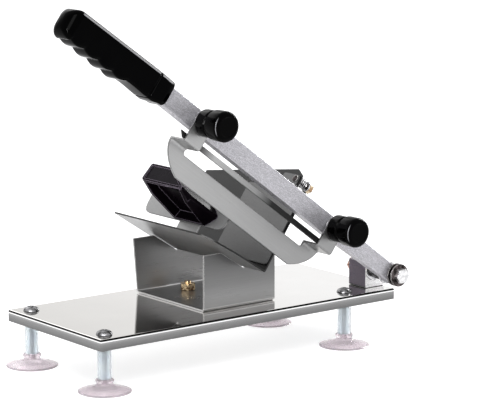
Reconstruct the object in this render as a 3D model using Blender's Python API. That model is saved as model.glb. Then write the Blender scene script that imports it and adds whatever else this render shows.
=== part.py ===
"""Hand-operated frozen meat slicer: a lever arm with a bolted-on blade, a V trough and a press plate."""

import math

import bmesh
import bpy
from mathutils import Matrix, Vector

# Fits and sheet stock
GAP = 0.0003
RUNNING = 0.00006
OVERRUN = 0.004
SHEET = 0.0015
BEND = 0.0010
WELD = 0.000001
ROUND_STEPS = 32
SMALL_ROUND_STEPS = 20
SMALL_ROUND = 0.0080
NUT_CORNER_SHARE = 0.64
CORNER_STEPS = 4
DOME_STEPS = 4

# Base plate: a tray of folded sheet, open underneath
PLATE_LENGTH = 0.340
PLATE_DEPTH = 0.150
APRON = 0.0105
PLATE_CORNER = 0.0016
PLATE_EDGE = 0.0012

# Legs
LEG_LEFT_INSET = 0.0150
LEG_RIGHT_INSET = 0.0490
LEG_SIDE_INSET = 0.0165
SLEEVE_RADIUS = 0.0064
SLEEVE_BORE = 0.0040
SLEEVE_BOTTOM = 0.0400
CUP_NECK_RADIUS = 0.0084
CUP_NECK_HEIGHT = 0.0060
CUP_RADIUS = 0.0240
CUP_RIM = 0.0009
CUP_HEIGHT = 0.0052
LEG_SCREW_RADIUS = 0.0025
LEG_HEAD_RADIUS = 0.0074
LEG_HEAD_HEIGHT = 0.0040
LEG_SCREW_GRIP = 0.0050

# Stand: a U channel open to the left and right, with a V cut in its walls
STAND_TO_PIVOT = 0.1925
STAND_LENGTH = 0.0827
STAND_NEAR = 0.0297
STAND_FAR = 0.1350
STAND_HEIGHT = 0.0525
STAND_FLARE = 0.0042
STAND_BOLT_SPACING = 0.0550
STAND_BOLT_RADIUS = 0.0030
STAND_BOLT_STANDOUT = 0.0022
STAND_NUT_FLATS = 0.0130
STAND_NUT_HEIGHT = 0.0062
STAND_HEAD_HEIGHT = 0.0040

# Trough: one bent sheet, its floor falling to the right and its wall rising from it
TROUGH_TO_PIVOT = 0.1460
TROUGH_Z = 0.0360
TROUGH_NEAR = -0.0010
TROUGH_LENGTH = 0.1500
FLOOR_TILT = math.radians(33.0)
WALL_RISE = math.radians(55.0)
FLOOR_WIDTH = 0.0735
TROUGH_BEND = 0.0006
FLOOR_CLIP_START = 0.0365
FLOOR_CLIP_MIDDLE = 0.0620
FLOOR_CLIP_MIDDLE_DEPTH = 0.0060
FLOOR_CLIP_DEPTH = 0.0150
FLOOR_CLIP_ROUND = 0.0120
WALL_HEIGHT = 0.0842
WALL_TAB_SETBACK = 0.0145
WALL_TAB_RISE = 0.0152
WALL_PEAK_RISE = 0.0204
WALL_PEAK_SETBACK = 0.0236

# Guide plate lying on the trough's wall, with its spring bolt
GUIDE_SHEET = 0.0012
GUIDE_LOW = 0.0070
GUIDE_DROP = 0.0022
GUIDE_NEAR = 0.0010
GUIDE_FAR = 0.0800
GUIDE_TAB_MARGIN = 0.0010
GUIDE_TAB_WIDTH = 0.0235
GUIDE_TAB_DROP = 0.0009
GUIDE_ROUND = 0.0030
ADJUST_RISE = 0.0100
ADJUST_SETBACK = 0.0200
ADJUST_RADIUS = 0.0025
ADJUST_HEAD_RADIUS = 0.0036
ADJUST_HEAD_HEIGHT = 0.0012
ADJUST_STANDOUT = 0.0012
ADJUST_SPRING_LENGTH = 0.0115
ADJUST_SPRING_RADIUS = 0.0041
ADJUST_SPRING_WIRE = 0.00055
ADJUST_SPRING_TURNS = 4
ADJUST_WASHER_RADIUS = 0.0052
ADJUST_NUT_FLATS = 0.0085
ADJUST_NUT_HEIGHT = 0.0046

# Pusher: a press plate parallel to the wall with a black hand block on its left face
PUSHER_STANDOFF = 0.0584
PUSHER_LIFT = 0.0128
PUSHER_NEAR = 0.0080
PUSHER_LENGTH = 0.1220
PUSHER_HEIGHT = 0.0290
PUSHER_ROUND = 0.0085
BLOCK_NEAR = 0.0135
BLOCK_TOP = 0.0330
BLOCK_ROUND = 0.0025
BLOCK_LIP = 0.0325
BLOCK_REACH = 0.0450
BLOCK_FOOT = 0.0005
BLOCK_FOOT_START = 0.0125
BLOCK_FOOT_END = 0.0605
BLOCK_SIDE = 0.0110
BLOCK_TOP_START = 0.0285
BLOCK_TOP_END = 0.0670
LIP_FOOT = 0.0080
LIP_FOOT_START = 0.0100
LIP_FOOT_END = 0.0665
LIP_SIDE = 0.0140
LIP_SIDE_START = 0.0060
LIP_TOP_START = 0.0325
FACE_LOW = 0.0155
FACE_START = 0.0112
FACE_END = 0.0725
FACE_SIDE = 0.0190
FACE_SIDE_START = 0.0128
FACE_TOP_START = 0.0350
FACE_TOP_END = 0.0685
PANEL_INSET = 0.0034
PANEL_DEPTH = 0.0016
RUNNER_SETBACK = 0.0360
RUNNER_LENGTH = 0.0300
RUNNER_TOP = 0.0240
RUNNER_FOOT = 0.0140
PUSHER_SCREW_HEIGHT = 0.0170
PUSHER_SCREW_SPACING = 0.0160
PUSHER_SCREW_RADIUS = 0.0015
PUSHER_SCREW_HEAD_RADIUS = 0.0030
PUSHER_SCREW_HEAD_HEIGHT = 0.0018
PUSHER_SCREW_DEPTH = 0.0120

# Pivot block at the plate's right end, and the pivot's own parts
BLOCK_WIDTH = 0.0235
PIVOT_BLOCK_DEPTH = 0.0245
PIVOT_BLOCK_HEIGHT = 0.0255
PIVOT_BLOCK_NEAR = 0.0155
PIVOT_BLOCK_EDGE = 0.0008
PIVOT_FROM_RIGHT = 0.0130
PIVOT_Z = 0.0175
PIVOT_RADIUS = 0.0040
PIVOT_HEAD_FLATS = 0.0130
PIVOT_HEAD_HEIGHT = 0.0055
PIVOT_NUT_HEIGHT = 0.0062
PIVOT_STANDOUT = 0.0020
PIVOT_WASHER_RADIUS = 0.0108
PIVOT_WASHER = 0.0015
PIVOT_RING_RADIUS = 0.0098
PIVOT_RING = 0.0024
PIVOT_SPRING_RADIUS = 0.0072
PIVOT_SPRING_WIRE = 0.0010
PIVOT_SPRING_TURNS = 4
BLOCK_SCREW_RADIUS = 0.0020
BLOCK_SCREW_HEAD_RADIUS = 0.0042
BLOCK_SCREW_HEAD_HEIGHT = 0.0025
BLOCK_SCREW_DEPTH = 0.0080
BLOCK_SCREW_SPACING = 0.0130

# Arm, measured along itself from the pivot
ARM_ANGLE = math.radians(36.6)
ARM_NEAR = -0.0150
ARM_THICKNESS = 0.0100
ARM_HEIGHT = 0.0187
ARM_DROP = 0.0030
ARM_LENGTH = 0.3295
ARM_TAIL = 0.0100
ARM_TAIL_ROUND = 0.0070
ARM_TAPER_START = 0.0900
ARM_TAPER = 0.0036
ARM_EDGE = 0.0006
TANG_LENGTH = 0.0400
TANG_HEIGHT = 0.0110

# Grip
GRIP_LENGTH = 0.1260
GRIP_WIDTH = 0.0250
GRIP_COLLAR = 0.0175
GRIP_COLLAR_STEP = 0.0030
GRIP_COLLAR_RISE = 0.0028
GRIP_COLLAR_FALL = 0.0020
GRIP_RISE = 0.0032
GRIP_TOP_DROP = 0.0018
GRIP_FALL = 0.0044
GRIP_BELLY = 0.0032
GRIP_WAVE = 0.0022
GRIP_WAVES = 4
GRIP_WAVES_START = 0.0450
GRIP_GROOVE = 0.0020
GRIP_GROOVE_DEPTH = 0.0009
GRIP_END_ROUND = 0.0110
GRIP_START_ROUND = 0.0012
GRIP_STATIONS = 46
GRIP_SIDES = 24
GRIP_SQUARENESS = 3.2

# Blade: one sheet with two ears folded forward under the arm and up in front of it
BLADE_NEAR = -0.0040
BLADE_EAR_LOW = 0.0252
BLADE_EDGE = 0.0582
BLADE_SPINE = 0.0323
BLADE_TIP_RUN = 0.0500
BLADE_TIP_POWER = 1.85
BLADE_HEEL_RUN = 0.0440
BLADE_HEEL_POWER = 1.7
BLADE_END_STEPS = 12
BLADE_GRIND = 0.0050
BLADE_GRIND_LAND = 0.0004
SLOT_ROUND = 0.0060
EAR_WIDTH = 0.0200
EAR_STANDOFF = 0.0055
EAR_TOP_ROUND = 0.0098
EAR_STEPS = 12
KNOB_FROM_GRIP = 0.0455
KNOB_SPACING = 0.1870

# Support bar, which stands on the blade's two ears just behind their front plates
SUPPORT_HEIGHT = 0.0050
SUPPORT_DEPTH = 0.0030
SUPPORT_OVERHANG = 0.0060
SUPPORT_EDGE = 0.0006

# Clamping knobs and their studs
STUD_RADIUS = 0.0030
KNOB_BASE_RADIUS = 0.0125
KNOB_BASE_LENGTH = 0.0115
KNOB_WAIST_RADIUS = 0.0113
KNOB_WAIST_LENGTH = 0.0018
KNOB_SHOULDER = 0.0012
KNOB_RADIUS = 0.0137
KNOB_LENGTH = 0.0315
KNOB_ROUND = 0.0042
KNOB_BORE_DEPTH = 0.0120
KNOB_WASHER_RADIUS = 0.0090
KNOB_WASHER = 0.0012
KNOB_SPRING_RADIUS = 0.0075
KNOB_SPRING_WIRE = 0.00050
KNOB_SPRING_TURNS = 2
STUD_NUT_FLATS = 0.0100
STUD_NUT_HEIGHT = 0.0024

# Colours
STEEL = (0.56, 0.56, 0.57)
MIRROR_STEEL = (0.80, 0.78, 0.75)
BLADE_STEEL = (0.62, 0.62, 0.63)
ALUMINIUM = (0.72, 0.71, 0.77)
CHROME = (0.80, 0.80, 0.82)
ZINC = (0.83, 0.68, 0.36)
COPPER = (0.58, 0.40, 0.32)
BLACK = (0.02, 0.02, 0.022)
SLEEVE_BLUE = (0.70, 0.78, 0.90)
CUP_LILAC = (0.82, 0.74, 0.82)


def clear_scene():
    for old in list(bpy.data.objects):
        bpy.data.objects.remove(old, do_unlink=True)


def material(name, colour, metallic, roughness):
    made = bpy.data.materials.new(name)
    made.use_nodes = True
    shader = made.node_tree.nodes["Principled BSDF"]
    shader.inputs["Base Color"].default_value = (*colour, 1.0)
    shader.inputs["Metallic"].default_value = metallic
    shader.inputs["Roughness"].default_value = roughness
    made.diffuse_color = (*colour, 1.0)
    return made


def empty(name, parent, location=(0, 0, 0), tilt=0.0):
    """A frame to place parts in, turned about its own Y axis."""
    made = bpy.data.objects.new(name, None)
    bpy.context.scene.collection.objects.link(made)
    made.parent = parent
    made.location = location
    made.rotation_euler = (0, tilt, 0)
    return made


def finish(name, bm, parent, look):
    """Turns a bmesh into an object, shaded smooth except at its sharp edges."""
    bmesh.ops.recalc_face_normals(bm, faces=bm.faces)
    mesh = bpy.data.meshes.new(name)
    bm.to_mesh(mesh)
    bm.free()
    mesh.shade_smooth()
    mesh.set_sharp_from_angle(angle=math.radians(32.0))
    made = bpy.data.objects.new(name, mesh)
    bpy.context.scene.collection.objects.link(made)
    made.parent = parent
    if look:
        mesh.materials.append(look)
    return made


def rounded(corners):
    """An outline from (a, b, radius) corners, with an arc wherever the radius isn't zero."""
    outline = []
    for index, (a, b, radius) in enumerate(corners):
        here = Vector((a, b))
        if not radius:
            outline.append(here)
            continue
        before = Vector(corners[index - 1][:2]) - here
        after = Vector(corners[(index + 1) % len(corners)][:2]) - here
        half = before.angle(after) / 2
        reach = min(radius / math.tan(half), before.length * 0.49, after.length * 0.49)
        start = here + before.normalized() * reach
        end = here + after.normalized() * reach
        fitted = reach * math.tan(half)
        centre = here + (before.normalized() + after.normalized()).normalized() * fitted / math.sin(half)
        turn = (start - centre).angle_signed(end - centre)
        for step in range(CORNER_STEPS + 1):
            share = step / CORNER_STEPS
            spoke = (start - centre).copy()
            spoke.rotate(Matrix.Rotation(-turn * share, 2))
            outline.append(centre + spoke)
    return outline


def lift(axis, a, b, along):
    """A point of an outline drawn across the named axis."""
    return {"X": (along, a, b), "Y": (a, along, b), "Z": (a, b, along)}[axis]


def extrude(name, outline, axis, start, end, parent, look=None, round_end=0.0, round_start=0.0):
    """An outline drawn out along an axis; either end can have its rim rounded."""
    bm = bmesh.new()
    low = [bm.verts.new(lift(axis, a, b, start)) for a, b in outline]
    high = [bm.verts.new(lift(axis, a, b, end)) for a, b in outline]
    caps = [bm.faces.new(low), bm.faces.new(high)]
    for index in range(len(outline)):
        after = (index + 1) % len(outline)
        bm.faces.new((low[index], low[after], high[after], high[index]))
    bmesh.ops.recalc_face_normals(bm, faces=bm.faces)
    for cap, radius in zip(caps, (round_start, round_end)):
        if radius:
            bmesh.ops.bevel(
                bm, geom=list(cap.edges), offset=radius, segments=3, profile=0.5, affect="EDGES"
            )
    return finish(name, bm, parent, look)


def turned(name, profile, parent, look=None):
    """A closed (radius, height) profile turned about the object's own Z axis."""
    widest = max(radius for radius, height in profile)
    steps = SMALL_ROUND_STEPS if widest < SMALL_ROUND else ROUND_STEPS
    bm = bmesh.new()
    points = [bm.verts.new((radius, 0, height)) for radius, height in profile]
    edges = [bm.edges.new(pair) for pair in zip(points, points[1:])]
    if profile[0][0] or profile[-1][0]:
        edges.append(bm.edges.new((points[-1], points[0])))
    bmesh.ops.spin(
        bm, geom=points + edges, cent=(0, 0, 0), axis=(0, 0, 1), angle=math.tau,
        steps=steps, use_merge=True,
    )
    bmesh.ops.remove_doubles(bm, verts=bm.verts, dist=WELD)
    return finish(name, bm, parent, look)


def skinned(name, rings, parent, look=None):
    """A closed skin over rings of points, with a flat cap on each end."""
    bm = bmesh.new()
    loops = [[bm.verts.new(point) for point in ring] for ring in rings]
    for near, far in zip(loops, loops[1:]):
        for index in range(len(near)):
            after = (index + 1) % len(near)
            bm.faces.new((near[index], near[after], far[after], far[index]))
    bm.faces.new(loops[0])
    bm.faces.new(loops[-1])
    return finish(name, bm, parent, look)


def regular(sides, across_flats):
    """A regular outline with its flats this far apart."""
    radius = across_flats / 2 / math.cos(math.pi / sides)
    turns = [math.tau * index / sides for index in range(sides)]
    return [(radius * math.cos(turn), radius * math.sin(turn)) for turn in turns]


def rectangle(low_a, low_b, high_a, high_b, radius=0.0):
    return rounded(
        [(low_a, low_b, radius), (high_a, low_b, radius), (high_a, high_b, radius), (low_a, high_b, radius)]
    )


def offset_path(points, distance):
    """The open path moved sideways, to the left of the way it runs."""
    moved = []
    for index, point in enumerate(points):
        before = (point - points[index - 1]).normalized() if index else None
        after = (points[index + 1] - point).normalized() if index + 1 < len(points) else None
        run = [way for way in (before, after) if way is not None]
        normals = [Vector((-way.y, way.x)) for way in run]
        middle = sum(normals, Vector((0, 0))).normalized()
        moved.append(point + middle * distance / middle.dot(normals[0]))
    return moved


def bent_sheet(points, thickness, inner_radius):
    """The outline of a folded sheet whose outer side follows an open path that turns left."""
    outer = [Vector(point) for point in points]
    inner = offset_path(outer, thickness)
    last = len(outer) - 1
    corners = []
    for index, point in enumerate(outer):
        corners.append((*point, 0.0 if index in (0, last) else inner_radius + thickness))
    for index in range(last, -1, -1):
        corners.append((*inner[index], 0.0 if index in (0, last) else inner_radius))
    return rounded(corners)


def boolean(target, other, operation):
    other.hide_render = True
    other.display_type = "WIRE"
    step = target.modifiers.new(other.name, "BOOLEAN")
    step.operation = operation
    step.solver = "EXACT"
    step.object = other


def cut(target, cutter):
    boolean(target, cutter, "DIFFERENCE")


def join(target, piece):
    boolean(target, piece, "UNION")


def drill(target, name, parent, location, rotation, radius, depth):
    """Cuts a round hole from the location along the local +Z of the rotation."""
    cutter = turned(name, [(0, 0), (radius, 0), (radius, depth), (0, depth)], parent)
    cutter.location = location
    cutter.rotation_euler = rotation
    cut(target, cutter)


def ring(name, inner, outer, thickness, parent, look, location, rotation=(0, 0, 0)):
    made = turned(name, [(inner, 0), (outer, 0), (outer, thickness), (inner, thickness)], parent, look)
    made.location = location
    made.rotation_euler = rotation
    return made


def hex_nut(name, flats, height, bore, parent, look, location, rotation):
    made = extrude(name, regular(6, flats), "Z", 0.0, height, parent, look)
    made.location = location
    made.rotation_euler = rotation
    crown = turned(
        name + "_crown",
        [(0, -OVERRUN), (flats / 2, -OVERRUN), (flats * NUT_CORNER_SHARE, height / 2),
         (flats / 2, height + OVERRUN), (0, height + OVERRUN)],
        made,
    )
    boolean(made, crown, "INTERSECT")
    drill(made, name + "_bore", made, (0, 0, -OVERRUN), (0, 0, 0), bore, height + OVERRUN * 2)
    return made


def helix(name, radius, wire, length, turns, parent, look, location, rotation=(0, 0, 0)):
    """One unbroken spring wire; both its ends run straight, square to what they meet."""
    points_per_turn = 10
    count = turns * points_per_turn
    lead = 2 * wire
    pitch = (length - 2 * lead) / turns
    path = [Vector((radius, 0, 0))]
    for index in range(count + 1):
        turn = math.tau * index / points_per_turn
        rise = lead + pitch * index / points_per_turn
        path.append(Vector((radius * math.cos(turn), radius * math.sin(turn), rise)))
    path.append(Vector((path[-1].x, path[-1].y, length)))
    print(name, "least gap between curls, mm:", round(1000 * least_gap(path, wire, points_per_turn), 3))
    curve = bpy.data.curves.new(name, "CURVE")
    curve.dimensions = "3D"
    curve.bevel_depth = wire
    curve.bevel_resolution = 1
    curve.use_fill_caps = True
    spline = curve.splines.new("POLY")
    spline.points.add(len(path) - 1)
    for point, place in zip(spline.points, path):
        point.co = (*place, 1.0)
    curve.materials.append(look)
    made = bpy.data.objects.new(name, curve)
    bpy.context.scene.collection.objects.link(made)
    made.parent = parent
    made.location = location
    made.rotation_euler = rotation
    return made


def least_gap(path, wire, points_per_turn):
    """The smallest clear distance between points of the wire that are over half a turn apart."""
    apart = points_per_turn // 2 + 1
    spans = [
        (first - second).length
        for index, first in enumerate(path)
        for second in path[index + apart:]
    ]
    return min(spans) - 2 * wire


# Turns an object's own +Z to face the front (-Y), the back (+Y) or straight down
TO_FRONT = (math.radians(90), 0, 0)
TO_BACK = (math.radians(-90), 0, 0)
TO_FLOOR = (math.radians(180), 0, 0)


def leg_places():
    left, right = LEG_LEFT_INSET, PLATE_LENGTH - LEG_RIGHT_INSET
    near, far = LEG_SIDE_INSET, PLATE_DEPTH - LEG_SIDE_INSET
    return {
        "front_left": (left, near), "front_right": (right, near),
        "back_left": (left, far), "back_right": (right, far),
    }


def pivot_x():
    return PLATE_LENGTH - PIVOT_FROM_RIGHT


def stand_bolt_places():
    middle_x = pivot_x() - STAND_TO_PIVOT + STAND_LENGTH / 2
    middle_y = (STAND_NEAR + STAND_FAR) / 2
    return {
        "front": (middle_x, middle_y - STAND_BOLT_SPACING / 2),
        "back": (middle_x, middle_y + STAND_BOLT_SPACING / 2),
    }


def block_screw_places():
    middle_x = PLATE_LENGTH - BLOCK_WIDTH / 2
    middle_y = PIVOT_BLOCK_NEAR + PIVOT_BLOCK_DEPTH / 2
    return {
        "front": (middle_x, middle_y - BLOCK_SCREW_SPACING / 2),
        "back": (middle_x, middle_y + BLOCK_SCREW_SPACING / 2),
    }


def base_plate(root, look):
    plate = extrude(
        "base_plate", rectangle(0, 0, PLATE_LENGTH, PLATE_DEPTH, PLATE_CORNER), "Z",
        -APRON, 0.0, root, look, round_end=PLATE_EDGE,
    )
    hollow = extrude(
        "base_hollow", rectangle(SHEET, SHEET, PLATE_LENGTH - SHEET, PLATE_DEPTH - SHEET), "Z",
        -APRON - OVERRUN, -SHEET, root,
    )
    cut(plate, hollow)
    holes = [(leg_places(), LEG_SCREW_RADIUS), (stand_bolt_places(), STAND_BOLT_RADIUS),
             (block_screw_places(), BLOCK_SCREW_RADIUS)]
    for places, radius in holes:
        for name, (x, y) in places.items():
            label = f"base_hole_{name}_{len(plate.modifiers)}"
            drill(plate, label, root, (x, y, -SHEET - OVERRUN), (0, 0, 0), radius + GAP, SHEET + OVERRUN * 2)
    return plate


def legs(root, looks):
    """Each leg is a long screw through the plate and a clear sleeve into a suction cup's neck."""
    top = -SHEET - GAP
    neck_top = -SLEEVE_BOTTOM - GAP
    neck_base = neck_top - CUP_NECK_HEIGHT
    ground = -stance()
    screw_end = neck_top - LEG_SCREW_GRIP
    for name, (x, y) in leg_places().items():
        sleeve = turned(
            "leg_sleeve_" + name,
            [(SLEEVE_BORE, -SLEEVE_BOTTOM), (SLEEVE_RADIUS, -SLEEVE_BOTTOM),
             (SLEEVE_RADIUS, top), (SLEEVE_BORE, top)],
            root, looks["sleeve"],
        )
        bore = LEG_SCREW_RADIUS + GAP
        bore_end = screw_end - GAP
        cup = turned(
            "suction_cup_" + name,
            [(0, bore_end), (bore, bore_end), (bore, neck_top), (CUP_NECK_RADIUS, neck_top),
             (CUP_NECK_RADIUS, neck_base), (SLEEVE_RADIUS, neck_base - CUP_RIM),
             (CUP_RADIUS - CUP_RIM, ground + CUP_RIM * 2), (CUP_RADIUS, ground + CUP_RIM),
             (CUP_RADIUS, ground), (0, ground)],
            root, looks["cup"],
        )
        screw = turned("leg_screw_" + name, dome_screw(LEG_HEAD_RADIUS, LEG_HEAD_HEIGHT, LEG_SCREW_RADIUS,
                                                       GAP, screw_end), root, looks["chrome"])
        for made in (sleeve, cup, screw):
            made.location = (x, y, 0)


def dome_screw(head, height, shank, seat, end):
    """The profile of a screw with a domed head on its seat and a plain shank below."""
    dome = []
    for index in range(DOME_STEPS + 1):
        turn = math.pi / 2 * index / DOME_STEPS
        dome.append((head * math.cos(turn), seat + height * math.sin(turn)))
    dome[-1] = (0, seat + height)
    return [(0, end), (shank, end), (shank, seat), *dome]


def stand(root, look):
    left = pivot_x() - STAND_TO_PIVOT
    path = [(STAND_NEAR, STAND_HEIGHT), (STAND_NEAR, 0), (STAND_FAR, 0), (STAND_FAR, STAND_HEIGHT)]
    channel = extrude(
        "stand", bent_sheet(path, SHEET, BEND), "X", left - STAND_FLARE, left + STAND_LENGTH, root, look
    )
    channel.location = (0, 0, GAP)
    middle = (STAND_NEAR + STAND_FAR) / 2
    outside = left - STAND_FLARE - OVERRUN
    above = STAND_HEIGHT + OVERRUN
    square = extrude(
        "stand_left_square", rectangle(outside, -OVERRUN, left, above), "Y",
        STAND_NEAR - OVERRUN, middle, root,
    )
    slant = [(outside, -OVERRUN), (left, -OVERRUN), (left, 0), (left - STAND_FLARE, STAND_HEIGHT),
             (left - STAND_FLARE, above), (outside, above)]
    flare = extrude("stand_left_slant", slant, "Y", middle - OVERRUN, STAND_FAR + OVERRUN, root)
    low = trough_corner() - Vector((0, GAP * 2))
    reach = FLOOR_WIDTH + WALL_HEIGHT
    notch = [low, low + reach * wall_way(), low + reach * floor_way()]
    vee = extrude("stand_vee", notch, "Y", STAND_NEAR - OVERRUN, STAND_FAR + OVERRUN, root)
    for cutter in (square, flare, vee):
        cut(channel, cutter)
    for name, (x, y) in stand_bolt_places().items():
        drill(channel, "stand_hole_" + name, root, (x, y, -OVERRUN), (0, 0, 0),
              STAND_BOLT_RADIUS + GAP, SHEET + OVERRUN * 2)
    return channel


def trough_corner():
    """The trough's lowest outer edge, seen along it."""
    return Vector((pivot_x() - TROUGH_TO_PIVOT, TROUGH_Z))


def floor_way():
    """Up the trough's floor, from its bend to its left edge."""
    return Vector((-math.cos(FLOOR_TILT), math.sin(FLOOR_TILT)))


def wall_way():
    """Up the trough's wall, from its bend to its top edge."""
    return Vector((math.cos(WALL_RISE), math.sin(WALL_RISE)))


def stand_bolts(root, looks):
    """Hex bolts from under the plate, with plated nuts on the stand's floor."""
    floor_top = GAP + SHEET
    nut_base = floor_top + GAP
    bolt_end = nut_base + STAND_NUT_HEIGHT + STAND_BOLT_STANDOUT
    seat = -SHEET - GAP
    for name, (x, y) in stand_bolt_places().items():
        hex_nut("stand_nut_" + name, STAND_NUT_FLATS, STAND_NUT_HEIGHT, STAND_BOLT_RADIUS + RUNNING,
                root, looks["zinc"], (x, y, nut_base), (0, 0, 0))
        bolt = extrude("stand_bolt_" + name, regular(6, STAND_NUT_FLATS), "Z",
                       seat - STAND_HEAD_HEIGHT, seat, root, looks["zinc"])
        shank = turned("stand_shank_" + name,
                       [(0, seat - STAND_HEAD_HEIGHT / 2), (STAND_BOLT_RADIUS, seat - STAND_HEAD_HEIGHT / 2),
                        (STAND_BOLT_RADIUS, bolt_end), (0, bolt_end)], root)
        bolt.location = shank.location = (x, y, 0)
        join(bolt, shank)


def trough(root, look):
    """The trough, and a frame on its wall: X up the wall, Z square to it and inwards."""
    corner = trough_corner()
    frame = empty("trough_frame", root, (corner.x, TROUGH_NEAR, corner.y))
    longest = WALL_HEIGHT + WALL_PEAK_RISE
    path = [longest * wall_way(), Vector((0, 0)), FLOOR_WIDTH * floor_way()]
    path.reverse()
    body = extrude("trough", bent_sheet(path, SHEET, TROUGH_BEND), "Y", 0.0, TROUGH_LENGTH, frame, look)
    wall = empty("trough_wall_frame", frame, (0, 0, 0), -WALL_RISE)
    floor = empty("trough_floor_frame", frame, (0, 0, 0), FLOOR_TILT)
    beyond = longest + OVERRUN
    far = TROUGH_LENGTH + OVERRUN
    tab = WALL_HEIGHT + WALL_TAB_RISE
    above = [(WALL_HEIGHT, -OVERRUN), (WALL_HEIGHT, WALL_TAB_SETBACK), (tab, WALL_TAB_SETBACK),
             (longest, WALL_PEAK_SETBACK), (WALL_HEIGHT, TROUGH_LENGTH), (WALL_HEIGHT, far),
             (beyond, far), (beyond, -OVERRUN)]
    cut(body, extrude("trough_wall_top", above, "Z", -OVERRUN, SHEET + OVERRUN, wall))
    left = -FLOOR_WIDTH - OVERRUN
    clip = rounded([
        (-FLOOR_CLIP_START, -OVERRUN, 0), (-FLOOR_CLIP_START, 0, 0),
        (-FLOOR_CLIP_MIDDLE, FLOOR_CLIP_MIDDLE_DEPTH, FLOOR_CLIP_ROUND),
        (-FLOOR_WIDTH, FLOOR_CLIP_DEPTH, 0), (left, FLOOR_CLIP_DEPTH, 0), (left, -OVERRUN, 0),
    ])
    cut(body, extrude("trough_corner", clip, "Z", -OVERRUN, SHEET + OVERRUN, floor))
    drill(body, "trough_adjust_hole", wall, (WALL_HEIGHT + ADJUST_RISE, ADJUST_SETBACK, -OVERRUN), (0, 0, 0),
          ADJUST_RADIUS + GAP, SHEET + OVERRUN * 2)
    return wall


def guide_plate(wall, look):
    """A second sheet on the wall's inner face, over its near half."""
    low = SHEET + GAP
    high = WALL_HEIGHT - GUIDE_DROP
    tab_near = WALL_TAB_SETBACK + GUIDE_TAB_MARGIN
    tab_far = tab_near + GUIDE_TAB_WIDTH
    tab_high = WALL_HEIGHT + WALL_TAB_RISE - GUIDE_TAB_DROP
    outline = rounded([
        (GUIDE_LOW, GUIDE_NEAR, GUIDE_ROUND), (high, GUIDE_NEAR, GUIDE_ROUND),
        (high, tab_near, 0), (tab_high, tab_near, GUIDE_ROUND), (tab_high, tab_far, GUIDE_ROUND),
        (high, tab_far, 0), (high, GUIDE_FAR, GUIDE_ROUND), (GUIDE_LOW, GUIDE_FAR, GUIDE_ROUND),
    ])
    plate = extrude("guide_plate", outline, "Z", low, low + GUIDE_SHEET, wall, look)
    drill(plate, "guide_hole", wall, (WALL_HEIGHT + ADJUST_RISE, ADJUST_SETBACK, low - OVERRUN), (0, 0, 0),
          ADJUST_RADIUS + GAP, GUIDE_SHEET + OVERRUN * 2)


def adjuster(wall, looks):
    """The bolt through guide and wall; outside the wall it carries a spring, a washer and a nut."""
    frame = empty("adjuster_frame", wall, (WALL_HEIGHT + ADJUST_RISE, ADJUST_SETBACK, 0))
    seat = SHEET + GAP + GUIDE_SHEET + GAP
    washer_top = -GAP - ADJUST_SPRING_LENGTH - GAP
    nut_top = washer_top - KNOB_WASHER - GAP
    end = nut_top - ADJUST_NUT_HEIGHT - ADJUST_STANDOUT
    turned("adjust_bolt", dome_screw(ADJUST_HEAD_RADIUS, ADJUST_HEAD_HEIGHT, ADJUST_RADIUS, seat, end),
           frame, looks["chrome"])
    helix("adjust_spring", ADJUST_SPRING_RADIUS, ADJUST_SPRING_WIRE, ADJUST_SPRING_LENGTH,
          ADJUST_SPRING_TURNS, frame, looks["chrome"], (0, 0, -GAP), TO_FLOOR)
    ring("adjust_washer", ADJUST_RADIUS + GAP, ADJUST_WASHER_RADIUS, KNOB_WASHER, frame, looks["chrome"],
         (0, 0, washer_top), TO_FLOOR)
    hex_nut("adjust_nut", ADJUST_NUT_FLATS, ADJUST_NUT_HEIGHT, ADJUST_RADIUS + RUNNING, frame,
            looks["zinc"], (0, 0, nut_top), TO_FLOOR)


def pusher(root, looks):
    """The press plate, its hand block, the runner that carries it on the floor, and two screws."""
    foot = pusher_foot()
    frame = empty("pusher_frame", root, (foot.x, PUSHER_NEAR, foot.y), -WALL_RISE)
    plate = extrude("press_plate", rectangle(0, 0, PUSHER_HEIGHT, PUSHER_LENGTH, PUSHER_ROUND), "Z",
                    -SHEET, 0.0, frame, looks["satin"])
    block = hand_block(frame, looks["black"])
    runner_sheet = pusher_runner(root, looks["steel"])
    middle = RUNNER_SETBACK + RUNNER_LENGTH / 2
    head_seat = -SHEET - GAP - SHEET - GAP
    for label, sign in (("near", -1), ("far", 1)):
        place = (PUSHER_SCREW_HEIGHT, middle + sign * PUSHER_SCREW_SPACING / 2, 0)
        screw = turned(
            "pusher_screw_" + label,
            dome_screw(PUSHER_SCREW_HEAD_RADIUS, PUSHER_SCREW_HEAD_HEIGHT, PUSHER_SCREW_RADIUS,
                       -head_seat, -PUSHER_SCREW_DEPTH),
            frame, looks["chrome"],
        )
        screw.location = place
        screw.rotation_euler = TO_FLOOR
        for target in (plate, block, runner_sheet):
            name = f"{target.name}_screw_hole_{label}"
            start = (place[0], place[1], head_seat - OVERRUN)
            drill(target, name, frame, start, (0, 0, 0), PUSHER_SCREW_RADIUS + GAP,
                  PUSHER_SCREW_DEPTH - head_seat + OVERRUN + GAP)


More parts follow.
